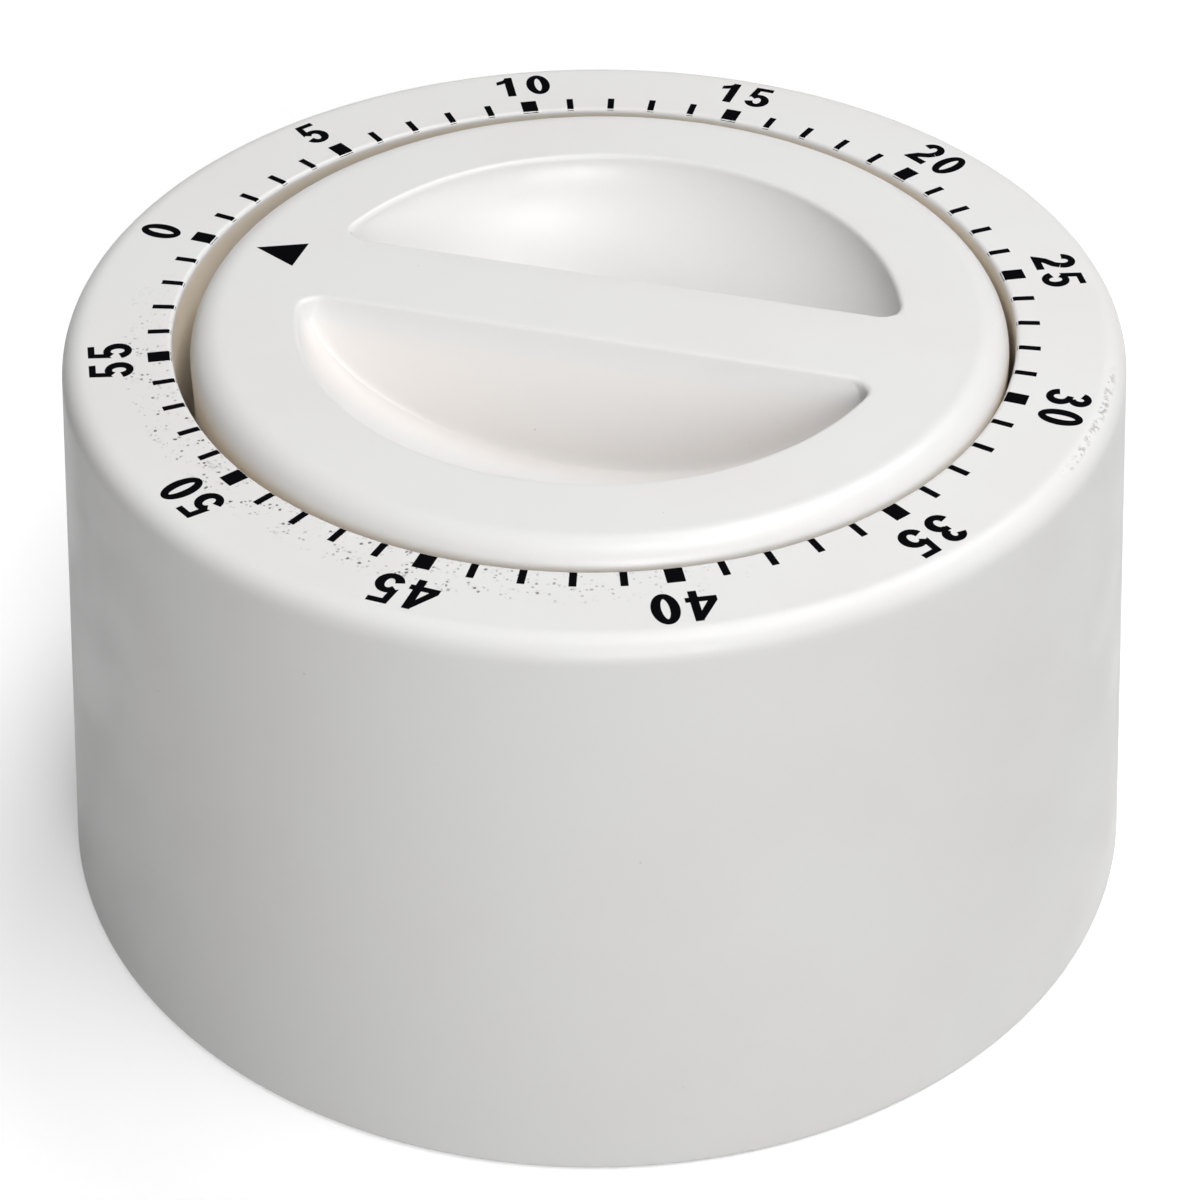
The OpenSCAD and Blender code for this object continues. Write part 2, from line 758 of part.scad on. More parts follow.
// A leaf that stands on the great wheel and lies along the click
module click_spring() {
    color("steelblue") translate([0, 0, great_top_z]) {
        at(click_foot_at) cylinder(r = click_foot_r, h = ratchet_t);
        translate([0, 0, slip]) bar(
            click_foot_at, polar(click_pin_reach + click_lever_r + loose_gap, 2),
            click_leaf_w, ratchet_t - 2 * slip
        );
    }
}

notch_w = 2.6;
notch_depth = 1.4;

module zero_cam() {
    color("silver") translate([0, 0, cam_z]) rotate(zero_angle) difference() {
        cylinder(r = cam_r, h = cam_t, $fn = 96);
        translate([0, 0, -over]) flatted_bore();
        // The notch that the release lever meets when the knob is back at 0
        translate([cam_r - notch_depth, -notch_w / 2, -over]) cube([cam_r, notch_w, cam_t + 2 * over]);
    }
}

module flatted_bore() {
    rotate(-zero_angle) flatted(arbor_top_r + seat_gap, cam_t + 2 * over);
}

clip_w = 1.4;
clip_t = 0.4;
clip_mouth = 1.8;

module cam_clip() {
    reach = arbor_top_r + clip_w;
    color("dimgray") translate([0, 0, cam_z + cam_t]) difference() {
        cylinder(r = reach, h = clip_t);
        translate([0, 0, -over]) cylinder(r = arbor_top_r + seat_gap, h = clip_t + 2 * over);
        translate([-clip_mouth / 2, -reach - over, -over])
            cube([clip_mouth, reach + over, clip_t + 2 * over]);
    }
}

// Arbors of the train: pivots in both plates, a pinion and a seat for the wheel

module staff(low, high) {
    translate([0, 0, low]) cylinder(r = shaft_r, h = high - low);
}

module pivots() {
    translate([0, 0, lower_z - slip]) cylinder(r = pivot_r, h = upper_top_z - lower_z + 2 * slip);
}

module pinion(m, z, t) {
    translate([0, 0, z - pinion_over]) linear_extrude(t + 2 * pinion_over)
        polygon(gear_outline(pinion_teeth, m));
}

module arbor(m, pinion_z, pinion_t, turn, wheel_z) {
    color("silver") {
        staff(train_z + slip, upper_z - slip);
        pivots();
        rotate(turn) pinion(m, pinion_z, pinion_t);
        collar_z = pinion_z + pinion_t + pinion_over;
        if (wheel_z > collar_z) translate([0, 0, collar_z]) cylinder(r = collar_r, h = wheel_z - collar_z);
        if (wheel_z < collar_z) translate([0, 0, wheel_z + wheel_t])
            cylinder(r = collar_r, h = loose_gap + slip);
    }
}

second_turn = mesh_turn(second_dir, pinion_teeth, great_teeth, 0);
strike_turn = mesh_turn(strike_dir, pinion_teeth, great_teeth, 0);
third_turn = mesh_turn(third_dir, pinion_teeth, wheel_teeth, 0);
escape_turn = mesh_turn(escape_dir, pinion_teeth, wheel_teeth, 0);
train_bore = shaft_r + seat_gap;

module second_arbor() {
    at(second_at) arbor(great_module, great_z, great_t, second_turn, second_z);
}

module second_wheel() {
    color("goldenrod") at(second_at, second_z) wheel(wheel_teeth, second_module, train_bore, wheel_t);
}

module third_arbor() {
    at(third_at) arbor(second_module, second_z, wheel_t, third_turn, third_z);
}

module third_wheel() {
    color("goldenrod") at(third_at, third_z) wheel(wheel_teeth, third_module, train_bore, wheel_t);
}

module escape_arbor() {
    at(escape_at) arbor(third_module, third_z, wheel_t, escape_turn, second_z);
}

escape_tooth_h = 1.4;
strike_tooth_h = 1.2;

module saw_wheel(teeth, tip, root, lean) {
    difference() {
        linear_extrude(wheel_t) polygon(saw_outline(teeth, tip, root, lean));
        translate([0, 0, -over]) cylinder(r = train_bore, h = wheel_t + 2 * over);
        for (i = [0:4]) at(polar((root + shaft_r) / 2 + slip, i * 72), -over)
            cylinder(r = root / 5, h = wheel_t + 2 * over);
    }
}

module escape_wheel() {
    color("goldenrod") at(escape_at, second_z)
        saw_wheel(escape_teeth, escape_r, escape_r - escape_tooth_h, 0.75);
}

module strike_arbor() {
    at(strike_at) arbor(great_module, great_z, great_t, strike_turn, second_z);
}

module strike_wheel() {
    color("goldenrod") at(strike_at, second_z)
        saw_wheel(strike_teeth, strike_r, strike_r - strike_tooth_h, 0.5);
}

// A verge with two upright pins that stand just clear of a toothed wheel through their whole swing
pin_r = 0.3;
verge_z = great_top_z + loose_gap + run_gap;
verge_t = 0.7;
verge_w = 1.2;
verge_hub_r = 1.7;
function pin_circle(tip, away, swing) = tip + pin_r + slip + norm([tip * 0.7, away - tip * 0.7]) * sin(swing);

module verge(wheel_at, verge_at, tip, swing) {
    away = norm(verge_at - wheel_at);
    r = pin_circle(tip, away, swing);
    dir = direction(verge_at - wheel_at);
    difference() {
        union() {
            for (a = [-47, 47]) {
                pin_at = wheel_at + polar(r, dir + a);
                translate([0, 0, verge_z]) bar(verge_at, pin_at, verge_w, verge_t);
                at(pin_at, verge_z) cylinder(r = pin_r, h = second_z + wheel_t + 2 * slip - verge_z);
            }
            at(verge_at, verge_z) cylinder(r = verge_hub_r, h = verge_t);
        }
        at(verge_at, verge_z - over) cylinder(r = train_bore, h = verge_t + 2 * over);
    }
}

module plain_arbor(low, high) {
    color("silver") {
        staff(low, high);
        pivots();
    }
}

module pallet_arbor() {
    at(pallet_at) plain_arbor(train_z + slip, upper_z - slip);
}

module pallet_lever() {
    color("goldenrod") verge(escape_at, pallet_at, escape_r, pallet_swing);
}

// A bar with two weights that times the swing of the pallets
weight_reach = 3.9;
weight_r = 1.5;
weight_h = 1.6;
weight_hub_r = 1.8;
lever_w = 1.4;
lever_t = 0.8;
balance_z = spring_z + 1.5 * lever_t;
balance_t = 1;

module balance_weight() {
    color("silver") difference() {
        union() {
            for (s = [-1, 1]) {
                tip = pallet_at + s * polar(weight_reach, pallet_dir + 90);
                translate([0, 0, balance_z]) bar(pallet_at, tip, lever_w, balance_t);
                at(tip, balance_z + (balance_t - weight_h) / 2) cylinder(r = weight_r, h = weight_h);
            }
            at(pallet_at, balance_z) cylinder(r = weight_hub_r, h = balance_t);
        }
        at(pallet_at, balance_z - over) cylinder(r = train_bore, h = balance_t + 2 * over);
    }
}

// The bell hammer: its arm and its head share the room between the bell and the lower plate

hammer_room = lower_z - bell_z - bell_t;
hammer_arm_z = lower_z - 0.43 * hammer_room;
hammer_arm_t = 0.16 * hammer_room;
hammer_head_h = 0.36 * hammer_room;
hammer_head_r = 1.8;
hammer_stub_r = 0.6;
hammer_rest_gap = 0.7;
hammer_reach = 8;
head_circle = bell_r - bell_t - hammer_head_r - hammer_rest_gap;
// The head stands at head_circle from the bell's middle and at hammer_reach from its arbor
head_dir = direction(hammer_at) + acos(
    (pow(norm(hammer_at), 2) + pow(head_circle, 2) - pow(hammer_reach, 2))
    / (2 * norm(hammer_at) * head_circle)
);
hammer_head_at = polar(head_circle, head_dir);
tail_reach = 6.8;
tail_at = hammer_at + polar(tail_reach, 130.3);
finger_z = third_z + wheel_t + wide_gap + slip;

module hammer_arbor() {
    color("silver") at(hammer_at) {
        staff(hammer_arm_z - loose_gap, upper_z - slip);
        translate([0, 0, upper_z - slip - over]) cylinder(r = pivot_r, h = plate_t + 2 * slip + over);
    }
}

module hammer_verge() {
    color("goldenrod") {
        verge(strike_at, hammer_at, strike_r, hammer_swing);
        difference() {
            translate([0, 0, finger_z]) bar(hammer_at, tail_at, lever_w, lever_t);
            at(hammer_at, finger_z - over) cylinder(r = train_bore, h = lever_t + 2 * over);
        }
        // A tube joins the tail to the verge
        at(hammer_at, verge_z + verge_t / 2) difference() {
            cylinder(r = collar_r, h = finger_z - verge_z);
            translate([0, 0, -over]) cylinder(r = train_bore, h = finger_z - verge_z + 2 * over);
        }
    }
}

module hammer_arm() {
    color("silver") difference() {
        union() {
            translate([0, 0, hammer_arm_z]) bar(hammer_at, hammer_head_at, lever_w, hammer_arm_t);
            at(hammer_at, hammer_arm_z) cylinder(r = verge_hub_r, h = hammer_arm_t);
        }
        at(hammer_at, hammer_arm_z - over) cylinder(r = train_bore, h = hammer_arm_t + 2 * over);
        at(hammer_head_at, hammer_arm_z - over) cylinder(r = hammer_stub_r, h = hammer_arm_t + 2 * over);
    }
}

module hammer_head() {
    color("silver") at(hammer_head_at) {
        translate([0, 0, hammer_arm_z - hammer_head_h]) cylinder(r = hammer_head_r, h = hammer_head_h);
        translate([0, 0, hammer_arm_z - hammer_head_h / 2])
            cylinder(r = hammer_stub_r - seat_gap, h = hammer_head_h / 2 + hammer_arm_t + slip);
    }
}

// The release: a lever that the zero cam lifts, and a finger that holds the hammer

nose_r = 0.6;
nose_dir = 150;
nose_at = polar(cam_r + nose_r + loose_gap + run_gap, nose_dir);
finger_dir = 266.6;
finger_reach = 7.8;
finger_at = release_at + polar(finger_reach, finger_dir);
release_hub_r = 1.8;

module release_arbor() {
    color("silver") at(release_at) {
        staff(train_z + slip, cam_z + cam_t + slip);
        translate([0, 0, lower_z - slip]) cylinder(r = pivot_r, h = plate_t + 2 * slip + over);
    }
}

module release_lever() {
    color("silver") difference() {
        union() {
            translate([0, 0, cam_z]) bar(release_at, nose_at, 2 * nose_r, cam_t);
            at(release_at, cam_z) cylinder(r = release_hub_r, h = cam_t);
        }
        at(release_at, cam_z - over) cylinder(r = train_bore, h = cam_t + 2 * over);
    }
}

module release_finger() {
    color("silver") difference() {
        union() {
            translate([0, 0, finger_z]) bar(release_at, finger_at, lever_w, lever_t);
            at(release_at, finger_z) cylinder(r = release_hub_r, h = lever_t);
        }
        at(release_at, finger_z - over) cylinder(r = train_bore, h = lever_t + 2 * over);
    }
}

// Return springs: a coil of wire round an arbor, one leg against a pillar and one under a lever

wire_r = 0.2;
coil_r = shaft_r + loose_gap + wire_r;
leg_over = 1;               // how far a leg reaches past what it leans on
release_leg = 5;
hammer_leg = 4;
coil_pitch = 0.75;
coil_turns = 3;
coil_steps = 16;

// Ring of points round each point of a level path, from its direction there
function wire_rings(path, r, sides) = [
    for (i = [0:len(path) - 1])
        let (
            run = path[min(len(path) - 1, i + 1)] - path[max(0, i - 1)],
            along = run / norm(run),
            side = [-along.y, along.x, 0] / norm([along.x, along.y]),
            up = cross(along, side)
        )
        for (j = [0:sides - 1])
            let (a = 360 * j / sides) path[i] + r * (cos(a) * side + sin(a) * up)
];

module wire(path, r, sides = 6) {
    n = len(path);
    polyhedron(wire_rings(path, r, sides), concat(
        [[for (j = [0:sides - 1]) j]],
        [
            for (i = [0:n - 2])
                for (j = [0:sides - 1])
                    for (face = [
                        [i * sides + j, (i + 1) * sides + j, (i + 1) * sides + (j + 1) % sides],
                        [i * sides + j, (i + 1) * sides + (j + 1) % sides, i * sides + (j + 1) % sides]
                    ]) face
        ],
        [[for (j = [sides - 1:-1:0]) (n - 1) * sides + j]]
    ));
}

// The first leg runs from the coil past the pillar, the second along lever_dir
module coil_spring(centre, low, pillar, lever_dir, lever_leg) {
    out = pillar - centre;
    offset_r = coil_r + pillar_r + wire_r + slip;
    start = direction(out) + acos(offset_r / norm(out));
    leg = sqrt(pow(norm(out), 2) - pow(offset_r, 2)) + leg_over;
    turns = coil_turns + ((lever_dir - 90 - start) % 360) / 360;
    n = round(turns * coil_steps);
    coil = [
        for (i = [0:n])
            let (a = start + 360 * turns * i / n, p = centre + polar(coil_r, a))
                [p.x, p.y, low + coil_pitch * turns * i / n]
    ];
    wire(concat(
        [coil[0] + leg * [sin(start), -cos(start), 0]],
        coil,
        [coil[n] + lever_leg * [cos(lever_dir), sin(lever_dir), 0]]
    ), wire_r);
}

coil_h = coil_pitch * (coil_turns + 1) + wire_r;

module release_spring() {
    color("steelblue")
        coil_spring(release_at, finger_z - coil_h, polar(pillar_at, pillar_dirs[1]), finger_dir, release_leg);
}

module hammer_spring() {
    color("steelblue")
        coil_spring(hammer_at, verge_z - coil_h, polar(pillar_at, pillar_dirs[2]), 157.6, hammer_leg);
}

case();
knob();
base_cover();
cover_screws();
upper_plate();
lower_plate();
plate_pillars();
pillar_nuts();
movement_screws();
main_arbor();
mainspring();
spring_post();
great_wheel();
ratchet_wheel();
click();
click_pin();
click_spring();
zero_cam();
cam_clip();
second_arbor();
second_wheel();
third_arbor();
third_wheel();
escape_arbor();
escape_wheel();
pallet_arbor();
pallet_lever();
balance_weight();
strike_arbor();
strike_wheel();
hammer_arbor();
hammer_verge();
hammer_arm();
hammer_head();
release_arbor();
release_lever();
release_finger();
release_spring();
hammer_spring();
bell();
bell_washer();
bell_screw();
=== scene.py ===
"""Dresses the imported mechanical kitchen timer.

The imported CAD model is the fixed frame. The case and the knob are drawn again as smooth
surfaces, the dial's print is laid on them, and every other piece keeps its CAD shape and
gets its own material. Sizes are in millimetres and angles in degrees, as in the CAD source,
and meshes are scaled to metres when they are made.
"""

from __future__ import annotations

import logging
import math
from dataclasses import dataclass
from enum import Enum
from functools import cached_property
from typing import Any, Sequence

import bmesh
import bpy
import numpy as np
from mathutils import Matrix, Vector
from mathutils.geometry import delaunay_2d_cdt


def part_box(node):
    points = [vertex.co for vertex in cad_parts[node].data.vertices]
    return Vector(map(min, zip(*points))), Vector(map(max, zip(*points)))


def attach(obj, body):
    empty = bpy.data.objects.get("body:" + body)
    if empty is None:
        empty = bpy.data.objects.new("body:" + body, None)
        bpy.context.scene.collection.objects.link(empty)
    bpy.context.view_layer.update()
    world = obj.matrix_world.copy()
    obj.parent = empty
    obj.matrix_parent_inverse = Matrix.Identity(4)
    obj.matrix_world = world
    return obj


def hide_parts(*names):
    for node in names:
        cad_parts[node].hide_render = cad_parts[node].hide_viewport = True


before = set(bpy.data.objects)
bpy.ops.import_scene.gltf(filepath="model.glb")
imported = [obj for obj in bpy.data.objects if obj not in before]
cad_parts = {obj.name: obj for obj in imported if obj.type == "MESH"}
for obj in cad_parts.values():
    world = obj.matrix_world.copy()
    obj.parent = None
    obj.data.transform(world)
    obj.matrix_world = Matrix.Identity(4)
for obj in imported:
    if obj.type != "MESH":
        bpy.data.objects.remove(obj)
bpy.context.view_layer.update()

log = logging.getLogger("timer")
MM = 0.001
WELD = 0.001 * MM
SHARP_ANGLE = math.radians(40)
Colour = tuple[float, float, float]
Pair = tuple[float, float]


# Shapes worked out as arrays


def turn_matrix(degrees: float) -> np.ndarray:
    """Gives the matrix of a turn about the z axis, anticlockwise from above."""
    a = math.radians(degrees)
    return np.array([[math.cos(a), -math.sin(a), 0], [math.sin(a), math.cos(a), 0], [0, 0, 1]])


def turned(points: np.ndarray, degrees: float) -> np.ndarray:
    """Turns points, with x, y and z last, about the z axis."""
    return points @ turn_matrix(degrees).T


def up(height: float) -> np.ndarray:
    """Gives a step straight up."""
    return np.array([0, 0, height])


def rounded_outline(
    corners: Sequence[Pair],
    radii: Sequence[float],
    steps: int = 8,
    support: float = 0.2,
    longest: float = 6.0,
    closed: bool = True,
) -> np.ndarray:
    """Rounds the corners of an outline with arcs that meet its sides smoothly.

    An arc's point is the centre plus the two end spokes, each weighted by the sine of the
    turn left to the other. Every straight run keeps a short step beside its arcs, so that
    flat faces stay flat in the shading.

    Args:
        corners: Corners of the outline, in order.
        radii: Rounding of each corner, 0 for a sharp one.
        steps: Steps of each arc.
        support: Length of the short step beside an arc.
        longest: Longest step in a straight run.
        closed: Whether the last corner joins the first.

    Returns:
        The outline's points, one row each.
    """
    places = np.asarray(corners, float)
    share = np.linspace(0, 1, steps + 1)[:, None]
    runs = []
    for k, (corner, radius) in enumerate(zip(places, radii)):
        back = places[k - 1] - corner
        ahead = places[(k + 1) % len(places)] - corner
        if radius == 0 or (not closed and k in (0, len(places) - 1)):
            runs.append(corner[None])
            continue
        back, ahead = back / np.linalg.norm(back), ahead / np.linalg.norm(ahead)
        half = math.acos(float(np.clip(back @ ahead, -1, 1))) / 2
        sweep = math.pi - 2 * half
        middle = (back + ahead) / np.linalg.norm(back + ahead)
        centre = corner + middle * radius / math.sin(half)
        start = corner + back * radius / math.tan(half) - centre
        end = corner + ahead * radius / math.tan(half) - centre
        arc = (np.sin((1 - share) * sweep) * start + np.sin(share * sweep) * end) / math.sin(sweep)
        runs.append(centre + arc)
    outline = []
    for k, run in enumerate(runs):
        outline.append(run)
        if not closed and k == len(runs) - 1:
            break
        gap = runs[(k + 1) % len(runs)][0] - run[-1]
        length = float(np.linalg.norm(gap))
        if length > 3 * support:
            parts = max(1, math.ceil((length - 2 * support) / longest))
            marks = np.linspace(support, length - support, parts + 1)[:, None] / length
            outline.append(run[-1] + gap * marks)
    return np.concatenate(outline)


def full_turn(columns: int) -> np.ndarray:
    """Gives the even angles of the columns round a full turn."""
    return np.linspace(0, 2 * math.pi, columns, endpoint=False)


def spun(outline: np.ndarray, angles: np.ndarray) -> np.ndarray:
    """Turns a radius and height outline round the axis, one column for each angle.

    Args:
        outline: Points of radius and height, one row each.
        angles: The columns' angles, or a row of them for each point.

    Returns:
        A grid of points, rows along the outline and columns round the axis.
    """
    radius, height = outline[:, 0, None], outline[:, 1, None]
    around = [radius * np.cos(angles), radius * np.sin(angles), height + 0 * angles]
    return np.stack(around, axis=-1)


def sector(inner: float, outer: float, start: float, end: float) -> np.ndarray:
    """Works out a flat grid at height 0 over part of a ring, between two radii and directions."""
    return spun(np.array([(inner, 0), (outer, 0)]), np.radians(np.linspace(start, end, 4)))


def respaced(lines: np.ndarray, count: int, turn_weight: float) -> np.ndarray:
    """Spaces each line's points anew by equal steps of its length plus its turn.

    The measure along a line is the sum of its steps and of the changes of its slope, and all
    lines are read in one interpolation, each in its own stretch of the measure.

    Args:
        lines: Lines of close points, shaped lines, points, xyz.
        count: Number of points wanted on each line.
        turn_weight: Length that one radian of turn counts for.

    Returns:
        The lines with the new points.
    """
    step = np.diff(lines, axis=1)
    length = np.linalg.norm(step, axis=-1)
    slope = np.arctan2(step[..., 2], np.linalg.norm(step[..., :2], axis=-1))
    turn = np.abs(np.diff(slope, axis=1, prepend=slope[:, :1]))
    measure = np.cumsum(length + turn_weight * turn + 1e-9, axis=1)
    measure = np.pad(measure / measure[:, -1:], ((0, 0), (1, 0)))
    stretch = 2.0 * np.arange(len(lines))[:, None]
    known = (measure + stretch).ravel()
    wanted = (np.linspace(0, 1, count) + stretch).ravel()
    axes = [np.interp(wanted, known, lines[..., k].ravel()) for k in range(3)]
    return np.stack(axes, axis=-1).reshape(len(lines), count, 3)


def link(name: str, data: bpy.types.ID) -> bpy.types.Object:
    """Makes an object of a mesh, a lamp's data or a camera's, and links it to the scene."""
    made = bpy.data.objects.new(name, data)
    bpy.context.scene.collection.objects.link(made)
    return made


class Piece:
    """Gathers grids of points and makes one object of them."""

    def __init__(self, name: str) -> None:
        """Starts an empty piece with its object's name."""
        self.name = name
        self.points: list[np.ndarray] = []
        self.faces: list[np.ndarray] = []
        self.count = 0

    def add(self, points: np.ndarray, faces: np.ndarray) -> None:
        """Adds points and the faces between them.

        Args:
            points: Points, with x, y and z last.
            faces: Point numbers of each face, one row each.
        """
        flat = np.asarray(points, float).reshape(-1, 3)
        self.points.append(flat)
        self.faces.append(np.asarray(faces) + self.count)
        self.count += len(flat)

    def grid(self, points: np.ndarray, round_rows: bool = False, round_columns: bool = False) -> None:
        """Adds a grid of points with a face in each cell.

        Args:
            points: The grid, shaped rows, columns, xyz.
            round_rows: Whether the last row joins the first.
            round_columns: Whether the last column joins the first.
        """
        rows, columns = points.shape[:2]
        i, j = np.meshgrid(
            np.arange(rows if round_rows else rows - 1),
            np.arange(columns if round_columns else columns - 1),
            indexing="ij",
        )
        k, m = (i + 1) % rows, (j + 1) % columns
        cells = [i * columns + j, k * columns + j, k * columns + m, i * columns + m]
        self.add(points, np.stack(cells, axis=-1).reshape(-1, 4))

    def block(self, one: np.ndarray, other: np.ndarray) -> None:
        """Adds a closed block: two grids of the same layout and the four sides between them."""
        self.grid(one)
        self.grid(other)
        for edge in (np.s_[0], np.s_[-1], np.s_[:, 0], np.s_[:, -1]):
            self.grid(np.stack([one[edge], other[edge]]))

    def slab(self, top: np.ndarray, depth: float) -> None:
        """Adds a closed sheet between a grid and the same grid lowered by a depth."""
        self.block(top, top - up(depth))

    def spin(self, outline: np.ndarray, at: Pair = (0, 0), columns: int = 48) -> None:
        """Adds a turned solid.

        Args:
            outline: Radius and height along its outline. It is closed, or both ends are on the axis.
            at: Place of its axis.
            columns: Faces round it.
        """
        on_axis = outline[0, 0] == 0 and outline[-1, 0] == 0
        points = spun(outline, full_turn(columns)) + np.array([*at, 0])
        self.grid(points, round_rows=not on_axis, round_columns=True)

    def make(
        self,
        body: str,
        slot: str,
        material: bpy.types.Material,
        replaces: Sequence[str] = (),
    ) -> None:
        """Makes the object, closes its seams and joins it to its body.

        Args:
            body: CAD body that it moves with.
            slot: Name of a material slot in the record; not used.
            material: Its finish.
            replaces: CAD nodes that it stands for.
        """
        mesh = bpy.data.meshes.new(self.name)
        faces = [face for block in self.faces for face in block.tolist()]
        mesh.from_pydata((np.concatenate(self.points) * MM).tolist(), [], faces)
        draft = bmesh.new()
        draft.from_mesh(mesh)
        bmesh.ops.remove_doubles(draft, verts=draft.verts, dist=WELD)
        bmesh.ops.recalc_face_normals(draft, faces=draft.faces)
        draft.to_mesh(mesh)
        draft.free()
        mesh.polygons.foreach_set("use_smooth", np.ones(len(mesh.polygons), bool))
        mesh.set_sharp_from_angle(angle=SHARP_ANGLE)
        mesh.materials.append(material)
        made = link(self.name, mesh)
        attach(made, body)
        if replaces:
            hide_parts(*replaces)
        log.info("%s: %d faces on %s", self.name, len(mesh.polygons), body)


# Materials


class Wire:
    """One output of a material's nodes, for use in sums."""

    def __init__(self, sheet: Sheet, socket: bpy.types.NodeSocket) -> None:
        """Holds a socket and the sheet that it is on."""
        self.sheet = sheet
        self.socket = socket

    def math(self, kind: str, *others: Wire | float) -> Wire:
        """Feeds this value and others to a Math node of a kind."""
        inputs = dict(enumerate((self, *others)))
        return self.sheet.node("ShaderNodeMath", inputs, operation=kind)

    def __add__(self, other: Wire | float) -> Wire:
        """Adds a value."""
        return self.math("ADD", other)

    def __sub__(self, other: Wire | float) -> Wire:
        """Takes a value away."""
        return self.math("SUBTRACT", other)

    def __mul__(self, other: Wire | float) -> Wire:
        """Multiplies by a value."""
        return self.math("MULTIPLY", other)

    def hypot(self, other: Wire) -> Wire:
        """Gives the length of a step of this value along one axis and another along the next."""
        return (self * self + other * other).math("SQRT")

    def ramp(self, low: float, high: float, start: float = 0.0, end: float = 1.0) -> Wire:
        """Turns the range from low to high into start to end, smoothly and held at both ends."""
        inputs = {"Value": self, "From Min": low, "From Max": high, "To Min": start, "To Max": end}
        return self.sheet.node("ShaderNodeMapRange", inputs, interpolation_type="SMOOTHSTEP")

    def within(self, low: float, high: float, soft: float) -> Wire:
        """Gives 1 between two values and 0 outside them, with soft edges."""
        return self.ramp(low - soft, low + soft) * self.ramp(high - soft, high + soft, start=1.0, end=0.0)


class Sheet:
    """The node tree of one material, or of the world."""

    def __init__(self, owner: bpy.types.Material | bpy.types.World) -> None:
        """Takes a new material or world and empties its node tree."""
        self.owner = owner
        self.owner.use_nodes = True
        self.tree = self.owner.node_tree
        self.tree.nodes.clear()

    @cached_property
    def place(self) -> Wire:
        """Gives the place on the piece in metres."""
        return self.node("ShaderNodeTexCoord", output="Object")

    def node(
        self,
        kind: str,
        inputs: dict[Any, Any] | None = None,
        output: int | str = 0,
        **settings: Any,
    ) -> Wire:
        """Adds any node.

        Args:
            kind: The node's type.
            inputs: Wires or plain values by socket name or number.
            output: The output that is wanted.
            settings: The node's own settings.

        Returns:
            The wanted output.
        """
        made = self.tree.nodes.new(kind)
        for name, value in settings.items():
            setattr(made, name, value)
        for name, value in (inputs or {}).items():
            if isinstance(value, Wire):
                self.tree.links.new(value.socket, made.inputs[name])
            elif isinstance(value, tuple) and made.inputs[name].type == "RGBA":
                made.inputs[name].default_value = (*value, 1.0)
            else:
                made.inputs[name].default_value = value
        return Wire(self, made.outputs[output])

    def axes(self) -> tuple[Wire, Wire, Wire]:
        """Gives the place on the piece in millimetres, as three values."""
        inputs = {0: self.place, 1: (1 / MM, 1 / MM, 1 / MM)}
        place = self.node("ShaderNodeVectorMath", inputs, operation="MULTIPLY")
        x, y, z = (self.node("ShaderNodeSeparateXYZ", {0: place}, output=axis) for axis in "XYZ")
        return x, y, z

    def noise(
        self,
        size: float,
        detail: float = 2.0,
        rough: float = 0.5,
        stretch: tuple[float, float, float] = (1, 1, 1),
        shift: float = 0.0,
        at: Wire | None = None,
    ) -> Wire:
        """Gives a soft random value about 0.5.

        Args:
            size: Size of its cells in millimetres.
            detail: Finer layers on it.
            rough: Strength of the finer layers.
            stretch: Length of its cells along each axis.
            shift: Moves it to another part of the pattern.
            at: Place to read it at, or the place on the piece.

        Returns:
            The value.
        """
        scale = tuple(1 / (size * MM * part) for part in stretch)
        inputs = {"Vector": at or self.place, "Scale": scale, "Location": (shift, shift, shift)}
        place = self.node("ShaderNodeMapping", inputs)
        inputs = {"Vector": place, "Scale": 1.0, "Detail": detail, "Roughness": rough}
        return self.node("ShaderNodeTexNoise", inputs)

    def specks(self, spacing: float, size: float, share: float, shift: float = 0.0) -> Wire:
        """Gives 1 inside small scattered specks.

        Args:
            spacing: Mean distance between the places that may hold one.
            size: Radius of a speck.
            share: Share of the places that hold one.
            shift: Moves them to other places.

        Returns:
            1 inside a speck and 0 outside.
        """
        scale = 1 / (spacing * MM)
        bent = self.noise(size * 1.5, detail=2.0, rough=0.6, shift=shift + 3.0)
        inputs = {"Vector": self.place, "Scale": (scale, scale, scale), "Location": (shift, 0, shift)}
        place = self.node("ShaderNodeMapping", inputs)
        cells = {"Vector": place, "Scale": 1.0}
        distance = self.node("ShaderNodeTexVoronoi", cells)
        colour = self.node("ShaderNodeTexVoronoi", cells, output="Color")
        chance = self.node("ShaderNodeSeparateColor", {0: colour})
        reach = size / spacing
        edge = distance + (bent - 0.5) * reach * 2.0
        inside = edge.ramp(reach * 0.7, reach * 1.3, start=1.0, end=0.0)
        return inside * chance.ramp(share - 0.01, share + 0.01, start=1.0, end=0.0)

    def mix(self, first: Wire | Colour, second: Wire | Colour, share: Wire | float) -> Wire:
        """Mixes two colours, by the share of the second."""
        inputs = {0: share, 6: first, 7: second}
        return self.node("ShaderNodeMix", inputs, output=2, data_type="RGBA")

    def bump(self, height: Wire, depth: float, under: Wire | None = None) -> Wire:
        """Turns a height into a bumped normal.

        Args:
            height: Height from 0 to 1.
            depth: What 1 stands for, in millimetres.
            under: A bumped normal that it lies on.

        Returns:
            The normal.
        """
        inputs: dict[Any, Any] = {"Height": height, "Distance": depth * MM, "Strength": 1.0}
        if under:
            inputs["Normal"] = under
        return self.node("ShaderNodeBump", inputs)

    def surface(self, **sockets: Any) -> bpy.types.Material:
        """Ends the sheet with a Principled surface, whose inputs have underscores for spaces."""
        inputs = {name.replace("_", " "): value for name, value in sockets.items()}
        return self.end(self.node("ShaderNodeBsdfPrincipled", inputs))

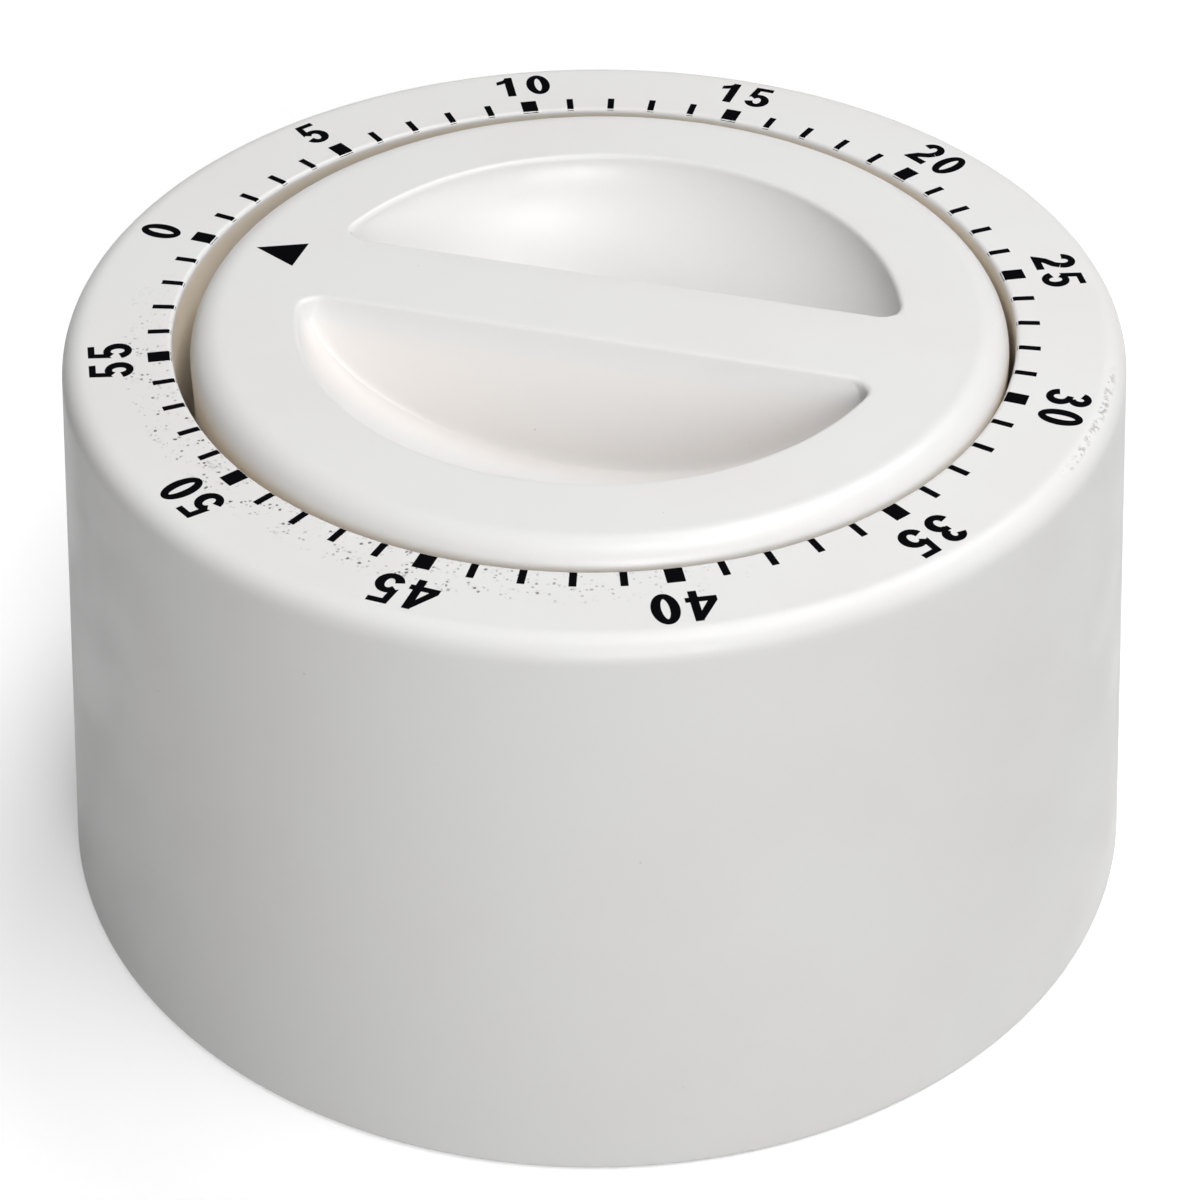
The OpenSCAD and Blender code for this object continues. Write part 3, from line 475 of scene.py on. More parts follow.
    def end(self, shader: Wire, kind: str = "ShaderNodeOutputMaterial") -> Any:
        """Joins a shader to the output and gives back the material or world."""
        output = self.tree.nodes.new(kind)
        self.tree.links.new(shader.socket, output.inputs["Surface"])
        return self.owner


@dataclass(frozen=True)
class Plastic:
    """Moulded plastic with a fine grain, faint clouds of colour and a little dust."""

    name: str
    colour: Colour
    cloud: Colour
    roughness: float
    grain_depth: float = 0.004

    def aged(self, sheet: Sheet, colour: Wire) -> Wire:
        """Gives the colour with a little dust on it."""
        dust = sheet.specks(2.6, size=0.06, share=0.08)
        return sheet.mix(colour, (0.25, 0.22, 0.18), dust * 0.7)

    def build(self) -> bpy.types.Material:
        """Makes the material."""
        sheet = Sheet(bpy.data.materials.new(self.name))
        clouds = sheet.noise(14.0, detail=3.0, rough=0.55)
        colour = sheet.mix(self.colour, self.cloud, clouds.ramp(0.4, 0.75, end=0.7))
        dull = sheet.noise(5.0, detail=4.0, rough=0.6, shift=5.0)
        roughness = dull.ramp(0.3, 0.7, self.roughness - 0.05, self.roughness + 0.06)
        waves = sheet.noise(9.0, detail=1.0, rough=0.4, shift=9.0)
        normal = sheet.bump(sheet.noise(0.25, detail=2.0, rough=0.5), self.grain_depth)
        normal = sheet.bump(waves, self.grain_depth * 8, normal)
        colour = self.aged(sheet, colour)
        return sheet.surface(Base_Color=colour, Roughness=roughness, Normal=normal)


@dataclass(frozen=True)
class Sizes:
    """Sizes that the case, the knob and the print share, as in the CAD source."""

    base_r: float = 36.55
    top_r: float = 33.35
    case_h: float = 38.9
    case_wall: float = 1.8
    case_edge_r: float = 1.5
    lip_r: float = 0.3
    well_wall: float = 1.2
    deck_top: float = 29.0
    deck_low: float = 27.4
    knob_r: float = 25.8
    hole_r: float = 26.55
    knob_z: float = 39.7
    knob_h: float = 10.1
    knob_edge_r: float = 2.0
    zero_angle: float = 159.3
    knob_angle: float = 163.7
    stop_dir: float = 20.0
    stop_deg: float = 2.7
    stop_r: float = 21.3
    stop_w: float = 2.5

    def side_r(self, height: float | np.ndarray) -> float | np.ndarray:
        """Gives the radius of the case's side at a height, or at each of several."""
        return self.base_r - (self.base_r - self.top_r) * height / self.case_h

    def minute_angle(self, minute: float) -> float:
        """Gives the direction of a minute, which run clockwise."""
        return self.zero_angle - 360 / 60 * minute


SIZES = Sizes()


@dataclass(frozen=True)
class Posts:
    """Three round posts, each with a blind screw hole from below."""

    at: float
    radius: float
    foot: float
    bore_top: float
    first: float
    bore_r: float = 0.95
    edge_r: float = 0.2
    mouth_r: float = 0.1

    def dirs(self) -> list[float]:
        """Gives the directions of the posts, a third of a turn apart."""
        return [self.first + 120 * k for k in range(3)]

    def outline(self, head: float) -> np.ndarray:
        """Works out the outline of one post, whose head is hidden in the case."""
        across = [0, self.radius, self.radius, self.bore_r, self.bore_r, 0]
        heights = [head, head, self.foot, self.foot, self.bore_top, self.bore_top]
        radii = [0, self.edge_r, self.edge_r, self.mouth_r, 0, 0]
        return rounded_outline(list(zip(across, heights)), radii, steps=3, closed=False)

    def add_to(self, piece: Piece, head: float) -> None:
        """Adds the posts to a piece."""
        for direction in self.dirs():
            x, y, _ = turned(np.array([self.at, 0, 0]), direction)
            piece.spin(self.outline(head), (x, y))


@dataclass(frozen=True)
class Case:
    """The drum case with its dial ring, its well and what is moulded inside it."""

    sizes: Sizes = SIZES
    columns: int = 256
    foot_r: float = 0.4
    inner_r: float = 0.3
    deck_hole_r: float = 3.0
    posts: Posts = Posts(at=30.5, radius=2.5, foot=4.05, bore_top=8.9, first=90)
    bosses: Posts = Posts(at=24.5, radius=2.4, foot=24.6, bore_top=27.1, first=100)
    rib_w: float = 1.2
    rib_up: float = 2.0
    stop_gap: float = 0.3
    stop_h: float = 3.0

    def outline(self) -> np.ndarray:
        """Works out the case's cut face, from its foot up the side and back through the well."""
        s = self.sizes
        under = s.case_h - s.case_wall
        corners = [
            (s.base_r, 0),
            (s.top_r, s.case_h),
            (s.hole_r, s.case_h),
            (s.hole_r, s.deck_top),
            (self.deck_hole_r, s.deck_top),
            (self.deck_hole_r, s.deck_low),
            (s.hole_r + s.well_wall, s.deck_low),
            (s.hole_r + s.well_wall, under),
            (s.side_r(under) - s.case_wall, under),
            (s.base_r - s.case_wall, 0),
        ]
        radii = [self.foot_r, s.case_edge_r, s.lip_r] + [self.inner_r] * (len(corners) - 3)
        return rounded_outline(corners, radii)

    def rib(self, direction: float) -> np.ndarray:
        """Works out the two sides of a rib that runs from a post into the case's wall."""
        s = self.sizes
        heights = np.array([self.posts.foot + self.rib_up, s.case_h - s.case_wall])
        radii = np.stack([np.full(2, self.posts.at), s.side_r(heights) - s.case_wall / 2], axis=1)
        side = np.stack([radii, np.zeros((2, 2)), np.tile(heights[:, None], (1, 2))], axis=-1)
        half = np.array([0, self.rib_w / 2, 0])
        return turned(np.stack([side - half, side + half]), direction)

    def build(self, shell: bpy.types.Material, inside: bpy.types.Material) -> None:
        """Makes the case and the parts moulded inside it."""
        s = self.sizes
        case = Piece("case_shell")
        case.spin(self.outline(), columns=self.columns)
        case.make("case", "case_plastic", shell, replaces=["case"])
        deck_middle = (s.deck_top + s.deck_low) / 2
        moulded = Piece("case_posts")
        self.posts.add_to(moulded, s.case_h - s.case_wall / 2)
        self.bosses.add_to(moulded, deck_middle)
        for direction in self.posts.dirs():
            moulded.block(*self.rib(direction))
        start = s.stop_dir + self.stop_gap
        stop = sector(s.stop_r, s.stop_r + s.stop_w, start, start + s.stop_deg)
        top = s.deck_top + self.stop_h
        moulded.slab(stop + up(top), top - deck_middle)
        moulded.make("case", "case_plastic", inside)


@dataclass(frozen=True)
class Knob:
    """The flush knob with two finger scoops, a grip bar between them and a skirt below.

    The scoops' mouths are a little tighter than the CAD's, as measured on the photograph.
    """

    sizes: Sizes = SIZES
    wall: float = 1.5
    scoop_r: float = 18.9
    scoop_deep: float = 7.8
    bowl_power: float = 2.2
    bowl_fall: float = 0.62
    bar_w: float = 7.2
    draft: float = 25.0
    mouth_r: float = 0.35
    inner_mouth_r: float = 0.3
    corner_r: float = 2.0
    corner_draft: float = 5.0
    upright: float = 0.01
    blend: float = 1.0
    blend_growth: float = 1.2
    skirt_r: float = 0.3
    root_r: float = 0.5
    columns: int = 160
    rows: int = 96
    inner_rows: int = 50
    bar_rows: int = 9
    close_rows: int = 1500
    turn_weight: float = 1.6
    boss_r: float = 4.2
    boss_top_r: float = 2.9
    boss_top: float = 1.4
    boss_shoulder: float = 3.2
    boss_edges: tuple[float, ...] = (0, 0.2, 0.2, 0.3, 0.1, 0, 0)
    bore_r: float = 2.21
    bore_end: float = 3.1
    flat_at: float = 1.374
    stop_up: float = 0.25
    aside: Pair = (0.35, -0.25)

    def edges(self, wall: float) -> tuple[float, float, float]:
        """Works out one scoop's limits.

        Args:
            wall: 0 for the outer face, or the wall for the face inside the knob.

        Returns:
            Mouth rounding, the radius where it starts, and where it starts beside the bar.
        """
        lean = math.radians(self.draft)
        mouth = self.inner_mouth_r if wall else self.mouth_r
        half = self.bar_w / 2 - wall / math.cos(lean) + wall * math.tan(lean)
        edge = half - mouth * math.tan(math.pi / 4 - lean / 2)
        return mouth, self.scoop_r + wall + mouth, edge

    @staticmethod
    def fall(past: np.ndarray, mouth: float, draft: float) -> np.ndarray:
        """Works out a wall that falls as a quarter round and then as a plane at its draft.

        Args:
            past: Distance inwards from where the rounding starts.
            mouth: Radius of the rounding.
            draft: Lean of the plane from upright.

        Returns:
            The depth at each distance.
        """
        lean = math.radians(draft)
        bend = mouth * math.cos(lean)
        start = mouth * math.tan(math.pi / 4 - lean / 2)
        inside = np.clip(past, 0, bend)
        turn = mouth - np.sqrt(mouth**2 - inside**2)
        return np.where(past > bend, (past - start) / math.tan(lean), turn)

    def depth(self, u: np.ndarray, v: np.ndarray, wall: float) -> np.ndarray:
        """Works out how deep a scoop is at places on its plan.

        The bar's side falls as a quarter round and then as a plane at the draft. The bowl falls
        as a quarter round at its mouth and then as a curve of the bowl's powers. The depth is
        the lesser of the two, with a soft blend in the valley between them, and a steep wall on
        a rounded plan cuts the two corners off.

        Args:
            u: Place along the bar.
            v: Place across the bar, from its middle.
            wall: 0 for the outer face, or the wall for the face inside the knob.

        Returns:
            The depth below the face, at each place.
        """
        mouth, outer, edge = self.edges(wall)
        side = self.fall(v - edge, mouth, self.draft)
        radius = np.hypot(u, v)
        rim = outer - radius
        share = 1 - np.clip(radius / (self.scoop_r + wall), 0, 1) ** self.bowl_power
        bowl = mouth + (self.scoop_deep - mouth) * share**self.bowl_fall
        bowl = np.where(rim < mouth, self.fall(rim, mouth, self.upright), bowl)
        least = np.minimum(side, bowl)
        soft = np.maximum(np.minimum(self.blend, self.blend_growth * least), 1e-6)
        share = np.clip(0.5 + 0.5 * (side - bowl) / soft, 0, 1)
        valley = side + (bowl - side) * share - soft * share * (1 - share)
        across, inwards = self.corner_r - (v - edge), self.corner_r - rim
        outside = np.hypot(np.clip(across, 0, None), np.clip(inwards, 0, None))
        past = self.corner_r - outside - np.clip(np.maximum(across, inwards), None, 0)
        return np.minimum(valley, self.fall(past, mouth, self.corner_draft))

    def scoop(self, wall: float, rows: int) -> np.ndarray:
        """Works out the face of the scoop on the bar's +v side.

        Each line of points has one place along the bar and runs from the bar's edge to the
        bowl's arc, and the lines are spaced by equal angles of the arc. A line is first worked
        out at many points, closest at its ends, and then spaced anew.

        Args:
            wall: 0 for the outer face, or the wall for the face inside the knob.
            rows: Points on each line.

        Returns:
            A grid, lines first, with the knob's face at height 0.
        """
        _, outer, edge = self.edges(wall)
        angles = self.arcs(wall)[0][:, None]
        share = np.linspace(0, 1, self.close_rows)
        share = 1 - (1 - share**1.5) ** 2
        v = edge + (outer * np.sin(angles) - edge) * share
        u = np.broadcast_to(outer * np.cos(angles), v.shape)
        lines = np.stack([u, v, -wall - self.depth(u, v, wall)], axis=-1)
        return respaced(lines, rows, self.turn_weight)

    def arcs(self, wall: float) -> tuple[np.ndarray, np.ndarray]:
        """Gives the angles of the columns along a scoop's arc, and of those across a bar's end."""
        _, outer, edge = self.edges(wall)
        corner = math.asin(edge / outer)
        arc = np.linspace(corner, math.pi - corner, self.columns)
        return arc, np.linspace(-corner, corner, self.bar_rows)

    def bar(self, wall: float) -> np.ndarray:
        """Works out the bar's flat face between the two scoops, its ends on the bowl's circle."""
        _, outer, _ = self.edges(wall)
        arc, end = self.arcs(wall)
        along = np.cos(arc) / math.cos(arc[0])
        v = np.broadcast_to(outer * np.sin(end), (self.columns, self.bar_rows))
        u = along[:, None] * np.sqrt(outer**2 - v**2)
        return np.stack([u, v, np.full(v.shape, -wall)], axis=-1)

    def ring_angles(self, wall: float) -> np.ndarray:
        """Gives the angles of all columns round the knob, which end at the bar and the scoops."""
        arc, end = (angles[:-1] for angles in self.arcs(wall))
        return np.concatenate([end, arc, end + math.pi, arc + math.pi])

    def rim(self) -> np.ndarray:
        """Works out the rim: the flat round the scoops, the edge, the skirt and its inside."""
        s = self.sizes
        inner_r = s.knob_r - self.wall
        corners = [
            (self.edges(0)[1], 0),
            (s.knob_r, 0),
            (s.knob_r, -s.knob_h),
            (inner_r, -s.knob_h),
            (inner_r, -self.wall),
            (self.edges(self.wall)[1], -self.wall),
        ]
        radii = [0, s.knob_edge_r, self.skirt_r, self.skirt_r, self.root_r, 0]
        outline = rounded_outline(corners, radii, 12, longest=2, closed=False)
        share = np.linspace(0, 1, len(outline))[:, None]
        angles = (1 - share) * self.ring_angles(0) + share * self.ring_angles(self.wall)
        return spun(outline, angles)

    def boss(self) -> np.ndarray:
        """Works out the boss round the main arbor, its blind bore flattened on one side."""
        low = -self.sizes.knob_h
        corners = [
            (0, -self.boss_top),
            (self.boss_top_r, -self.boss_top),
            (self.boss_r, -self.boss_shoulder),
            (self.boss_r, low),
            (self.bore_r, low),
            (self.bore_r, -self.bore_end),
            (0, -self.bore_end),
        ]
        outline = rounded_outline(corners, self.boss_edges, 4, closed=False)
        points = spun(outline, full_turn(64))
        bored = (outline[:, 0] <= self.bore_r) & (outline[:, 1] <= -self.bore_end)
        points[bored, :, 1] = np.minimum(points[bored, :, 1], self.flat_at)
        return points

    def build(self, material: bpy.types.Material) -> None:
        """Makes the knob, its boss and its stop rib.

        The photographed knob sits a little to one side of its well, and so does the shell here.
        """
        s = self.sizes
        place = np.array([*self.aside, s.knob_z])
        knob = Piece("knob_shell")
        for wall, rows in ((0, self.rows), (self.wall, self.inner_rows)):
            scoop = self.scoop(wall, rows)
            for face in (scoop, turned(scoop, 180), self.bar(wall)):
                knob.grid(turned(face, s.knob_angle) + place)
        knob.grid(turned(self.rim(), s.knob_angle) + place, round_columns=True)
        knob.make("knob", "knob_plastic", material, replaces=["knob"])
        inside = Piece("knob_boss")
        inside.grid(self.boss() + up(s.knob_z), round_columns=True)
        stop = sector(s.stop_r, s.knob_r - self.wall / 2, s.stop_dir - s.stop_deg, s.stop_dir)
        low = s.knob_z - s.knob_h + self.stop_up
        height = s.knob_h - s.knob_edge_r
        inside.slab(stop + up(low + height), height)
        inside.make("knob", "knob_plastic", material)


# The dial's print


@dataclass(frozen=True)
class Numerals:
    """Bold upright numerals drawn as broad strokes, one unit high from their foot."""

    stem: float = 0.215
    bar: float = 0.17
    steps: int = 20

    @staticmethod
    def stroke(line: np.ndarray, width: float | np.ndarray) -> np.ndarray:
        """Widens a line into an outline, half the width to each side along its normals.

        Args:
            line: Points along the middle of the stroke.
            width: Width of the stroke, or one for each point.

        Returns:
            The stroke's outline.
        """
        along = np.gradient(line, axis=0)
        along /= np.linalg.norm(along, axis=1, keepdims=True)
        side = np.stack([-along[:, 1], along[:, 0]], axis=1) * np.reshape(width, (-1, 1)) / 2
        return np.concatenate([line - side, (line + side)[::-1]])

    def bow(self, centre: Pair, size: Pair, start: float, end: float) -> np.ndarray:
        """Works out a bent stroke on an oval, thinner where it runs level.

        Args:
            centre: The oval's centre.
            size: Half width and half height of the oval through the stroke's middle.
            start: Direction of the first end.
            end: Direction of the last end.

        Returns:
            The stroke's outline.
        """
        a = np.radians(np.linspace(start, end, self.steps))
        line = np.stack([centre[0] + size[0] * np.cos(a), centre[1] + size[1] * np.sin(a)], axis=1)
        width = self.bar + (self.stem - self.bar) * np.cos(a) ** 2
        return self.stroke(line, width)

    def strokes(self, numeral: str) -> list[Sequence[Pair] | np.ndarray]:
        """Lists the outlines that make up a numeral."""
        stem, bar = self.stem, self.bar
        if numeral == "0":
            size = (0.305 - stem / 2, 0.51 - bar / 2)
            return [self.bow((0, 0.5), size, 90, 275), self.bow((0, 0.5), size, 270, 455)]
        if numeral == "1":
            right = 0.15
            left = right - stem
            upright = [(right, 0), (right, 1), (left + 0.03, 1), (left, 0.9), (left, 0)]
            flag = [(0, 1), (-0.1, 0.88), (-0.28, 0.8), (-0.28, 0.64), (-0.12, 0.69), (0.05, 0.8)]
            return [upright, flag]
        if numeral == "2":
            foot = [(-0.31, 0), (0.3, 0), (0.3, bar + 0.02), (-0.08, bar + 0.02), (-0.31, 0.06)]
            slope = np.array([(0.178, 0.6), (0.11, 0.46), (-0.08, 0.29), (-0.2, 0.05)])
            top = self.bow((0.0, 0.712), (0.2, 0.222), 175, -28)
            return [top, self.stroke(slope, stem * 0.96), foot]
        if numeral == "3":
            upper = self.bow((-0.015, 0.755), (0.17, 0.178), 170, -80)
            lower = self.bow((-0.005, 0.29), (0.2, 0.22), 92, -170)
            middle = [(-0.09, 0.45), (0.06, 0.43), (0.06, 0.585), (-0.09, 0.6)]
            return [upper, lower, middle]
        if numeral == "4":
            upright = [(0.065, 0), (0.25, 0), (0.25, 1), (0.065, 1)]
            level = [(-0.325, 0.21), (0.345, 0.21), (0.345, 0.365), (-0.325, 0.365)]
            slope = [(-0.325, 0.365), (-0.325, 0.33), (-0.14, 0.33), (0.1, 0.73), (0.1, 1), (0.085, 1)]
            return [upright, level, slope]
        roof = [(-0.2, 0.845), (0.265, 0.845), (0.265, 1), (-0.17, 1)]
        side = [(-0.2, 1), (-0.04, 1), (-0.09, 0.57), (-0.27, 0.47)]
        return [roof, side, self.bow((-0.005, 0.318), (0.21, 0.245), 142, -168)]

    def cut(self, numeral: str) -> tuple[np.ndarray, np.ndarray]:
        """Joins a numeral's strokes and cuts them into triangles.

        Args:
            numeral: One figure, from 0 to 5.

        Returns:
            The points and the triangles inside the strokes.
        """
        points: list[Vector] = []
        loops = []
        for outline in map(np.asarray, self.strokes(numeral)):
            ahead = np.roll(outline, -1, axis=0)
            if np.sum(outline[:, 0] * ahead[:, 1] - ahead[:, 0] * outline[:, 1]) < 0:
                outline = outline[::-1]
            loops.append(list(range(len(points), len(points) + len(outline))))
            points += [Vector(point) for point in outline.tolist()]
        places, _, triangles, _, _, owners = delaunay_2d_cdt(points, [], loops, 1, 1e-5)
        kept = [triangle for triangle, owner in zip(triangles, owners) if owner]
        return np.array([tuple(place) for place in places]), np.array(kept)


@dataclass(frozen=True)
class Dial:
    """The print on the ring and on the knob: minute marks, numbers and the pointer."""

    sizes: Sizes = SIZES
    mark_from: float = 26.6
    mark_to: float = 28.05
    minor_w: float = 0.45
    major_w: float = 1.08
    mark_rows: int = 12
    number_foot: float = 29.0
    number_h: float = 2.7
    advance: float = 0.79
    single_shift: float = -0.08
    proud: float = 0.012
    sunk: float = 0.05
    pointer_angle: float = 162.0
    pointer_tip: float = 22.95
    pointer_foot: float = 19.9
    pointer_w: float = 2.85

    def ring_height(self, radius: np.ndarray) -> np.ndarray:
        """Gives the dial ring's height, which falls as a quarter round at its inner lip."""
        s = self.sizes
        past = np.clip(s.hole_r + s.lip_r - radius, 0, s.lip_r)
        return s.case_h - s.lip_r + np.sqrt(s.lip_r**2 - past**2)

    def marks(self) -> Piece:
        """Works out the sixty minute marks, bent over the ring's lip."""
        piece = Piece("dial_marks")
        along = np.linspace(self.mark_from, self.mark_to, self.mark_rows)
        for minute in range(60):
            half = (self.minor_w if minute % 5 else self.major_w) / 2
            radius, side = np.meshgrid(along, np.linspace(-half, half, 3), indexing="ij")
            height = self.ring_height(np.hypot(radius, side)) + self.proud
            top = np.stack([radius, side, height], axis=-1)
            piece.slab(turned(top, self.sizes.minute_angle(minute)), self.sunk)
        return piece

    def numbers(self, numerals: Numerals) -> Piece:
        """Works out the twelve numbers, their heads outwards."""
        piece = Piece("dial_numbers")
        cuts = {figure: numerals.cut(figure) for figure in "012345"}
        level = self.sizes.case_h + self.proud
        for minute in range(0, 60, 5):
            figures = str(minute)
            first = -self.advance / 2 if len(figures) > 1 else self.single_shift
            for k, figure in enumerate(figures):
                places, triangles = cuts[figure]
                across = (places[:, 0] + first + k * self.advance) * self.number_h
                radius = self.number_foot + places[:, 1] * self.number_h
                top = np.stack([radius, -across, np.full(len(places), level)], axis=-1)
                self.stamp(piece, turned(top, self.sizes.minute_angle(minute)), triangles)
        return piece

    def stamp(self, piece: Piece, top: np.ndarray, triangles: np.ndarray) -> None:
        """Adds a flat shape with its underside and its edge.

        Args:
            piece: Piece that it is added to.
            top: Its points.
            triangles: The triangles between them.
        """
        low = top - up(self.sunk)
        piece.add(top, triangles)
        piece.add(low, triangles)
        sides = np.concatenate([triangles[:, [0, 1]], triangles[:, [1, 2]], triangles[:, [2, 0]]])
        _, first, times = np.unique(np.sort(sides, axis=1), axis=0, return_index=True, return_counts=True)
        rim = sides[first[times == 1]]
        count = len(top)
        walls = np.stack([rim[:, 0], rim[:, 1], rim[:, 1] + count, rim[:, 0] + count], axis=1)
        piece.add(np.concatenate([top, low]), walls)

    def pointer(self) -> Piece:
        """Works out the knob's pointer, a triangle whose tip is at the rim."""
        piece = Piece("knob_pointer")
        foot, half = self.pointer_foot, self.pointer_w / 2
        corners = np.array([(self.pointer_tip, 0, 0), (foot, half, 0), (foot, -half, 0)])
        top = turned(corners, self.pointer_angle) + up(self.sizes.knob_z + self.proud)
        self.stamp(piece, top, np.array([[0, 1, 2]]))
        return piece

    def build(self, ink: bpy.types.Material) -> None:
        """Makes the print."""
        self.marks().make("case", "case_plastic", ink)
        self.numbers(Numerals()).make("case", "case_plastic", ink)
        self.pointer().make("knob", "knob_plastic", ink)


# Finishes of this timer


@dataclass(frozen=True)
class CasePlastic(Plastic):
    """The case's plastic, with old dirt by the marks, a scuffed rim, and yellowing and painted shade on
    the well's wall.
    """

    dirt: Colour = (0.05, 0.045, 0.04)
    well: Colour = (0.84, 0.75, 0.62)
    # Yellowing with painted shade, put on the well's wall in the gap round the knob.
    scuff: Colour = (0.3, 0.29, 0.28)
    dirt_minute: float = 48.5
    dirt_fade: Pair = (0.35, 1.15)
    dirt_band: Pair = (26.6, 29.5)
    scuff_band: Pair = (32.35, 32.75)
    scuff_arc: Pair = (-0.54, -0.22)

    def aged(self, sheet: Sheet, colour: Wire) -> Wire:
        """Gives the colour with its dirt, specks and scuffs, and yellowing and painted shade on the
        well's wall.
        """
        s = SIZES
        x, y, z = sheet.axes()
        radius, angle = x.hypot(y), y.math("ARCTAN2", x)
        turn = math.radians(s.minute_angle(self.dirt_minute))
        away = (angle - turn).math("WRAP", math.pi, -math.pi).math("ABSOLUTE")
        near = away.ramp(*self.dirt_fade, start=1.0, end=0.0)
        band = radius.within(*self.dirt_band, 0.35) * z.ramp(s.case_h - 0.7, s.case_h - 0.5)
        patches = sheet.noise(1.3, detail=3.0, rough=0.6, shift=2.0).ramp(0.45, 0.6)
        fine = sheet.specks(0.3, size=0.1, share=0.5, shift=1.0) * patches
        smear = sheet.noise(0.5, detail=4.0, rough=0.7, shift=7.0).ramp(0.54, 0.74, end=0.5) * patches
        colour = sheet.mix(colour, self.dirt, (fine * 0.9 + smear) * band * near)
        upper = z.ramp(s.case_h - 0.2, s.case_h - 0.1, start=0.35)
        loose = sheet.specks(2.4, size=0.07, share=0.12, shift=4.0) * upper
        colour = sheet.mix(colour, self.dirt, loose * 0.55)
        rim = radius.within(*self.scuff_band, 0.15) * angle.within(*self.scuff_arc, 0.05)
        rim = rim * z.ramp(s.case_h - 1.6, s.case_h - 1.4)
        scratch = sheet.noise(0.5, detail=3.0, rough=0.7, shift=11.0).ramp(0.48, 0.6)
        colour = sheet.mix(colour, self.scuff, scratch * rim * 0.7)
        # Painted shade with yellowing: the well's wall below the ring's lip turns brownish, more so
        # deeper down in the gap beside the knob.
        inside = radius.ramp(s.hole_r + 0.1, s.hole_r + 0.02) * z.ramp(s.case_h - 0.2, s.case_h - 0.6)
        return sheet.mix(colour, self.well, inside * 0.9)


@dataclass(frozen=True)
class KnobPlastic(Plastic):
    """The knob's plastic, with yellowing and painted shade on its side in the gap, and warmer on the
    bar's front wall.
    """

    # Yellowing with painted shade, put on the knob's side in the gap below the ring.
    yellowed: Colour = (0.84, 0.76, 0.64)
    warm: Colour = (0.84, 0.81, 0.785)
    warm_from: Pair = (-3.8, -5.0)
    warm_to: Pair = (-10.5, -7.5)

    def aged(self, sheet: Sheet, colour: Wire) -> Wire:
        """Gives the colour with its yellowing and painted gap shade, its warm tint and its dust."""
        s = SIZES
        x, y, z = sheet.axes()
        # Painted shade with yellowing: the knob's side below the ring's level turns brownish, more so
        # deeper in the gap.
        wall = x.hypot(y).ramp(s.knob_r - 0.5, s.knob_r - 0.05) * z.ramp(s.knob_z - 0.9, s.knob_z - 2.2)
        colour = sheet.mix(colour, self.yellowed, wall * 0.8)
        bar = math.radians(s.knob_angle - 180)
        across = y * math.cos(bar) - x * math.sin(bar)
        front = across.ramp(*self.warm_from) * across.ramp(*self.warm_to)
        front = front * z.ramp(s.knob_z - 0.6, s.knob_z - 2.0)
        colour = sheet.mix(colour, self.warm, front)
        dust = sheet.specks(1.9, size=0.05, share=0.1, shift=6.0)
        return sheet.mix(colour, (0.3, 0.27, 0.24), dust * 0.5)


@dataclass(frozen=True)
class Ink:
    """Black print with a dull skin and worn pinholes."""

    colour: Colour = (0.004, 0.004, 0.005)

    def build(self) -> bpy.types.Material:
        """Makes the material."""
        sheet = Sheet(bpy.data.materials.new("dial_ink"))
        worn = sheet.noise(0.35, detail=3.0, rough=0.6).ramp(0.66, 0.85, end=0.06)
        colour = sheet.mix(self.colour, (0.3, 0.3, 0.3), worn)
        rough = sheet.noise(0.8, detail=2.0, shift=3.0).ramp(0.3, 0.7, 0.6, 0.75)
        normal = sheet.bump(sheet.noise(0.12), 0.002)
        return sheet.surface(Base_Color=colour, Roughness=rough, Normal=normal, Specular_IOR_Level=0.0)


class Lay(Enum):
    """How the fine marks on a metal run."""

    TURNED = "turned"
    ROLLED = "rolled"
    CAST = "cast"


@dataclass(frozen=True)
class Metal:
    """A bare or plated metal with its tool marks and a little tarnish."""

    name: str
    colour: Colour
    tarnish: Colour
    roughness: float
    lay: Lay
    tarnish_share: float = 0.35

    def marks(self, sheet: Sheet, centre: Pair) -> Wire:
        """Works out the tool marks: rings about the centre, long streaks, or plain grain."""
        if self.lay is Lay.CAST:
            return sheet.noise(0.3, detail=3.0, rough=0.6)
        if self.lay is Lay.ROLLED:
            return sheet.noise(0.12, detail=3.0, rough=0.6, stretch=(40.0, 1.0, 1.0))
        x, y, z = sheet.axes()
        radius = (x - centre[0]).hypot(y - centre[1]) * MM
        place = sheet.node("ShaderNodeCombineXYZ", {0: radius, 1: z * (0.3 * MM)})
        return sheet.noise(0.1, detail=3.0, rough=0.6, at=place)

    def build(self, piece: str, centre: Pair) -> bpy.types.Material:
        """Makes the material for one piece.

        Args:
            piece: The piece's name.
            centre: Where the piece's own axis is.

        Returns:
            The material.
        """
        sheet = Sheet(bpy.data.materials.new(f"{self.name}_{piece}"))
        marks = self.marks(sheet, centre)
        clouds = sheet.noise(3.5, detail=4.0, rough=0.6, shift=float(len(piece)))
        colour = sheet.mix(self.colour, self.tarnish, clouds.ramp(0.45, 0.8, end=self.tarnish_share))
        rough = marks.ramp(0.3, 0.7, self.roughness - 0.06, self.roughness + 0.08)
        rough = rough + clouds.ramp(0.4, 0.8, end=0.12)
        normal = sheet.bump(marks, 0.003)
        return sheet.surface(Base_Color=colour, Metallic=1.0, Roughness=rough, Normal=normal)


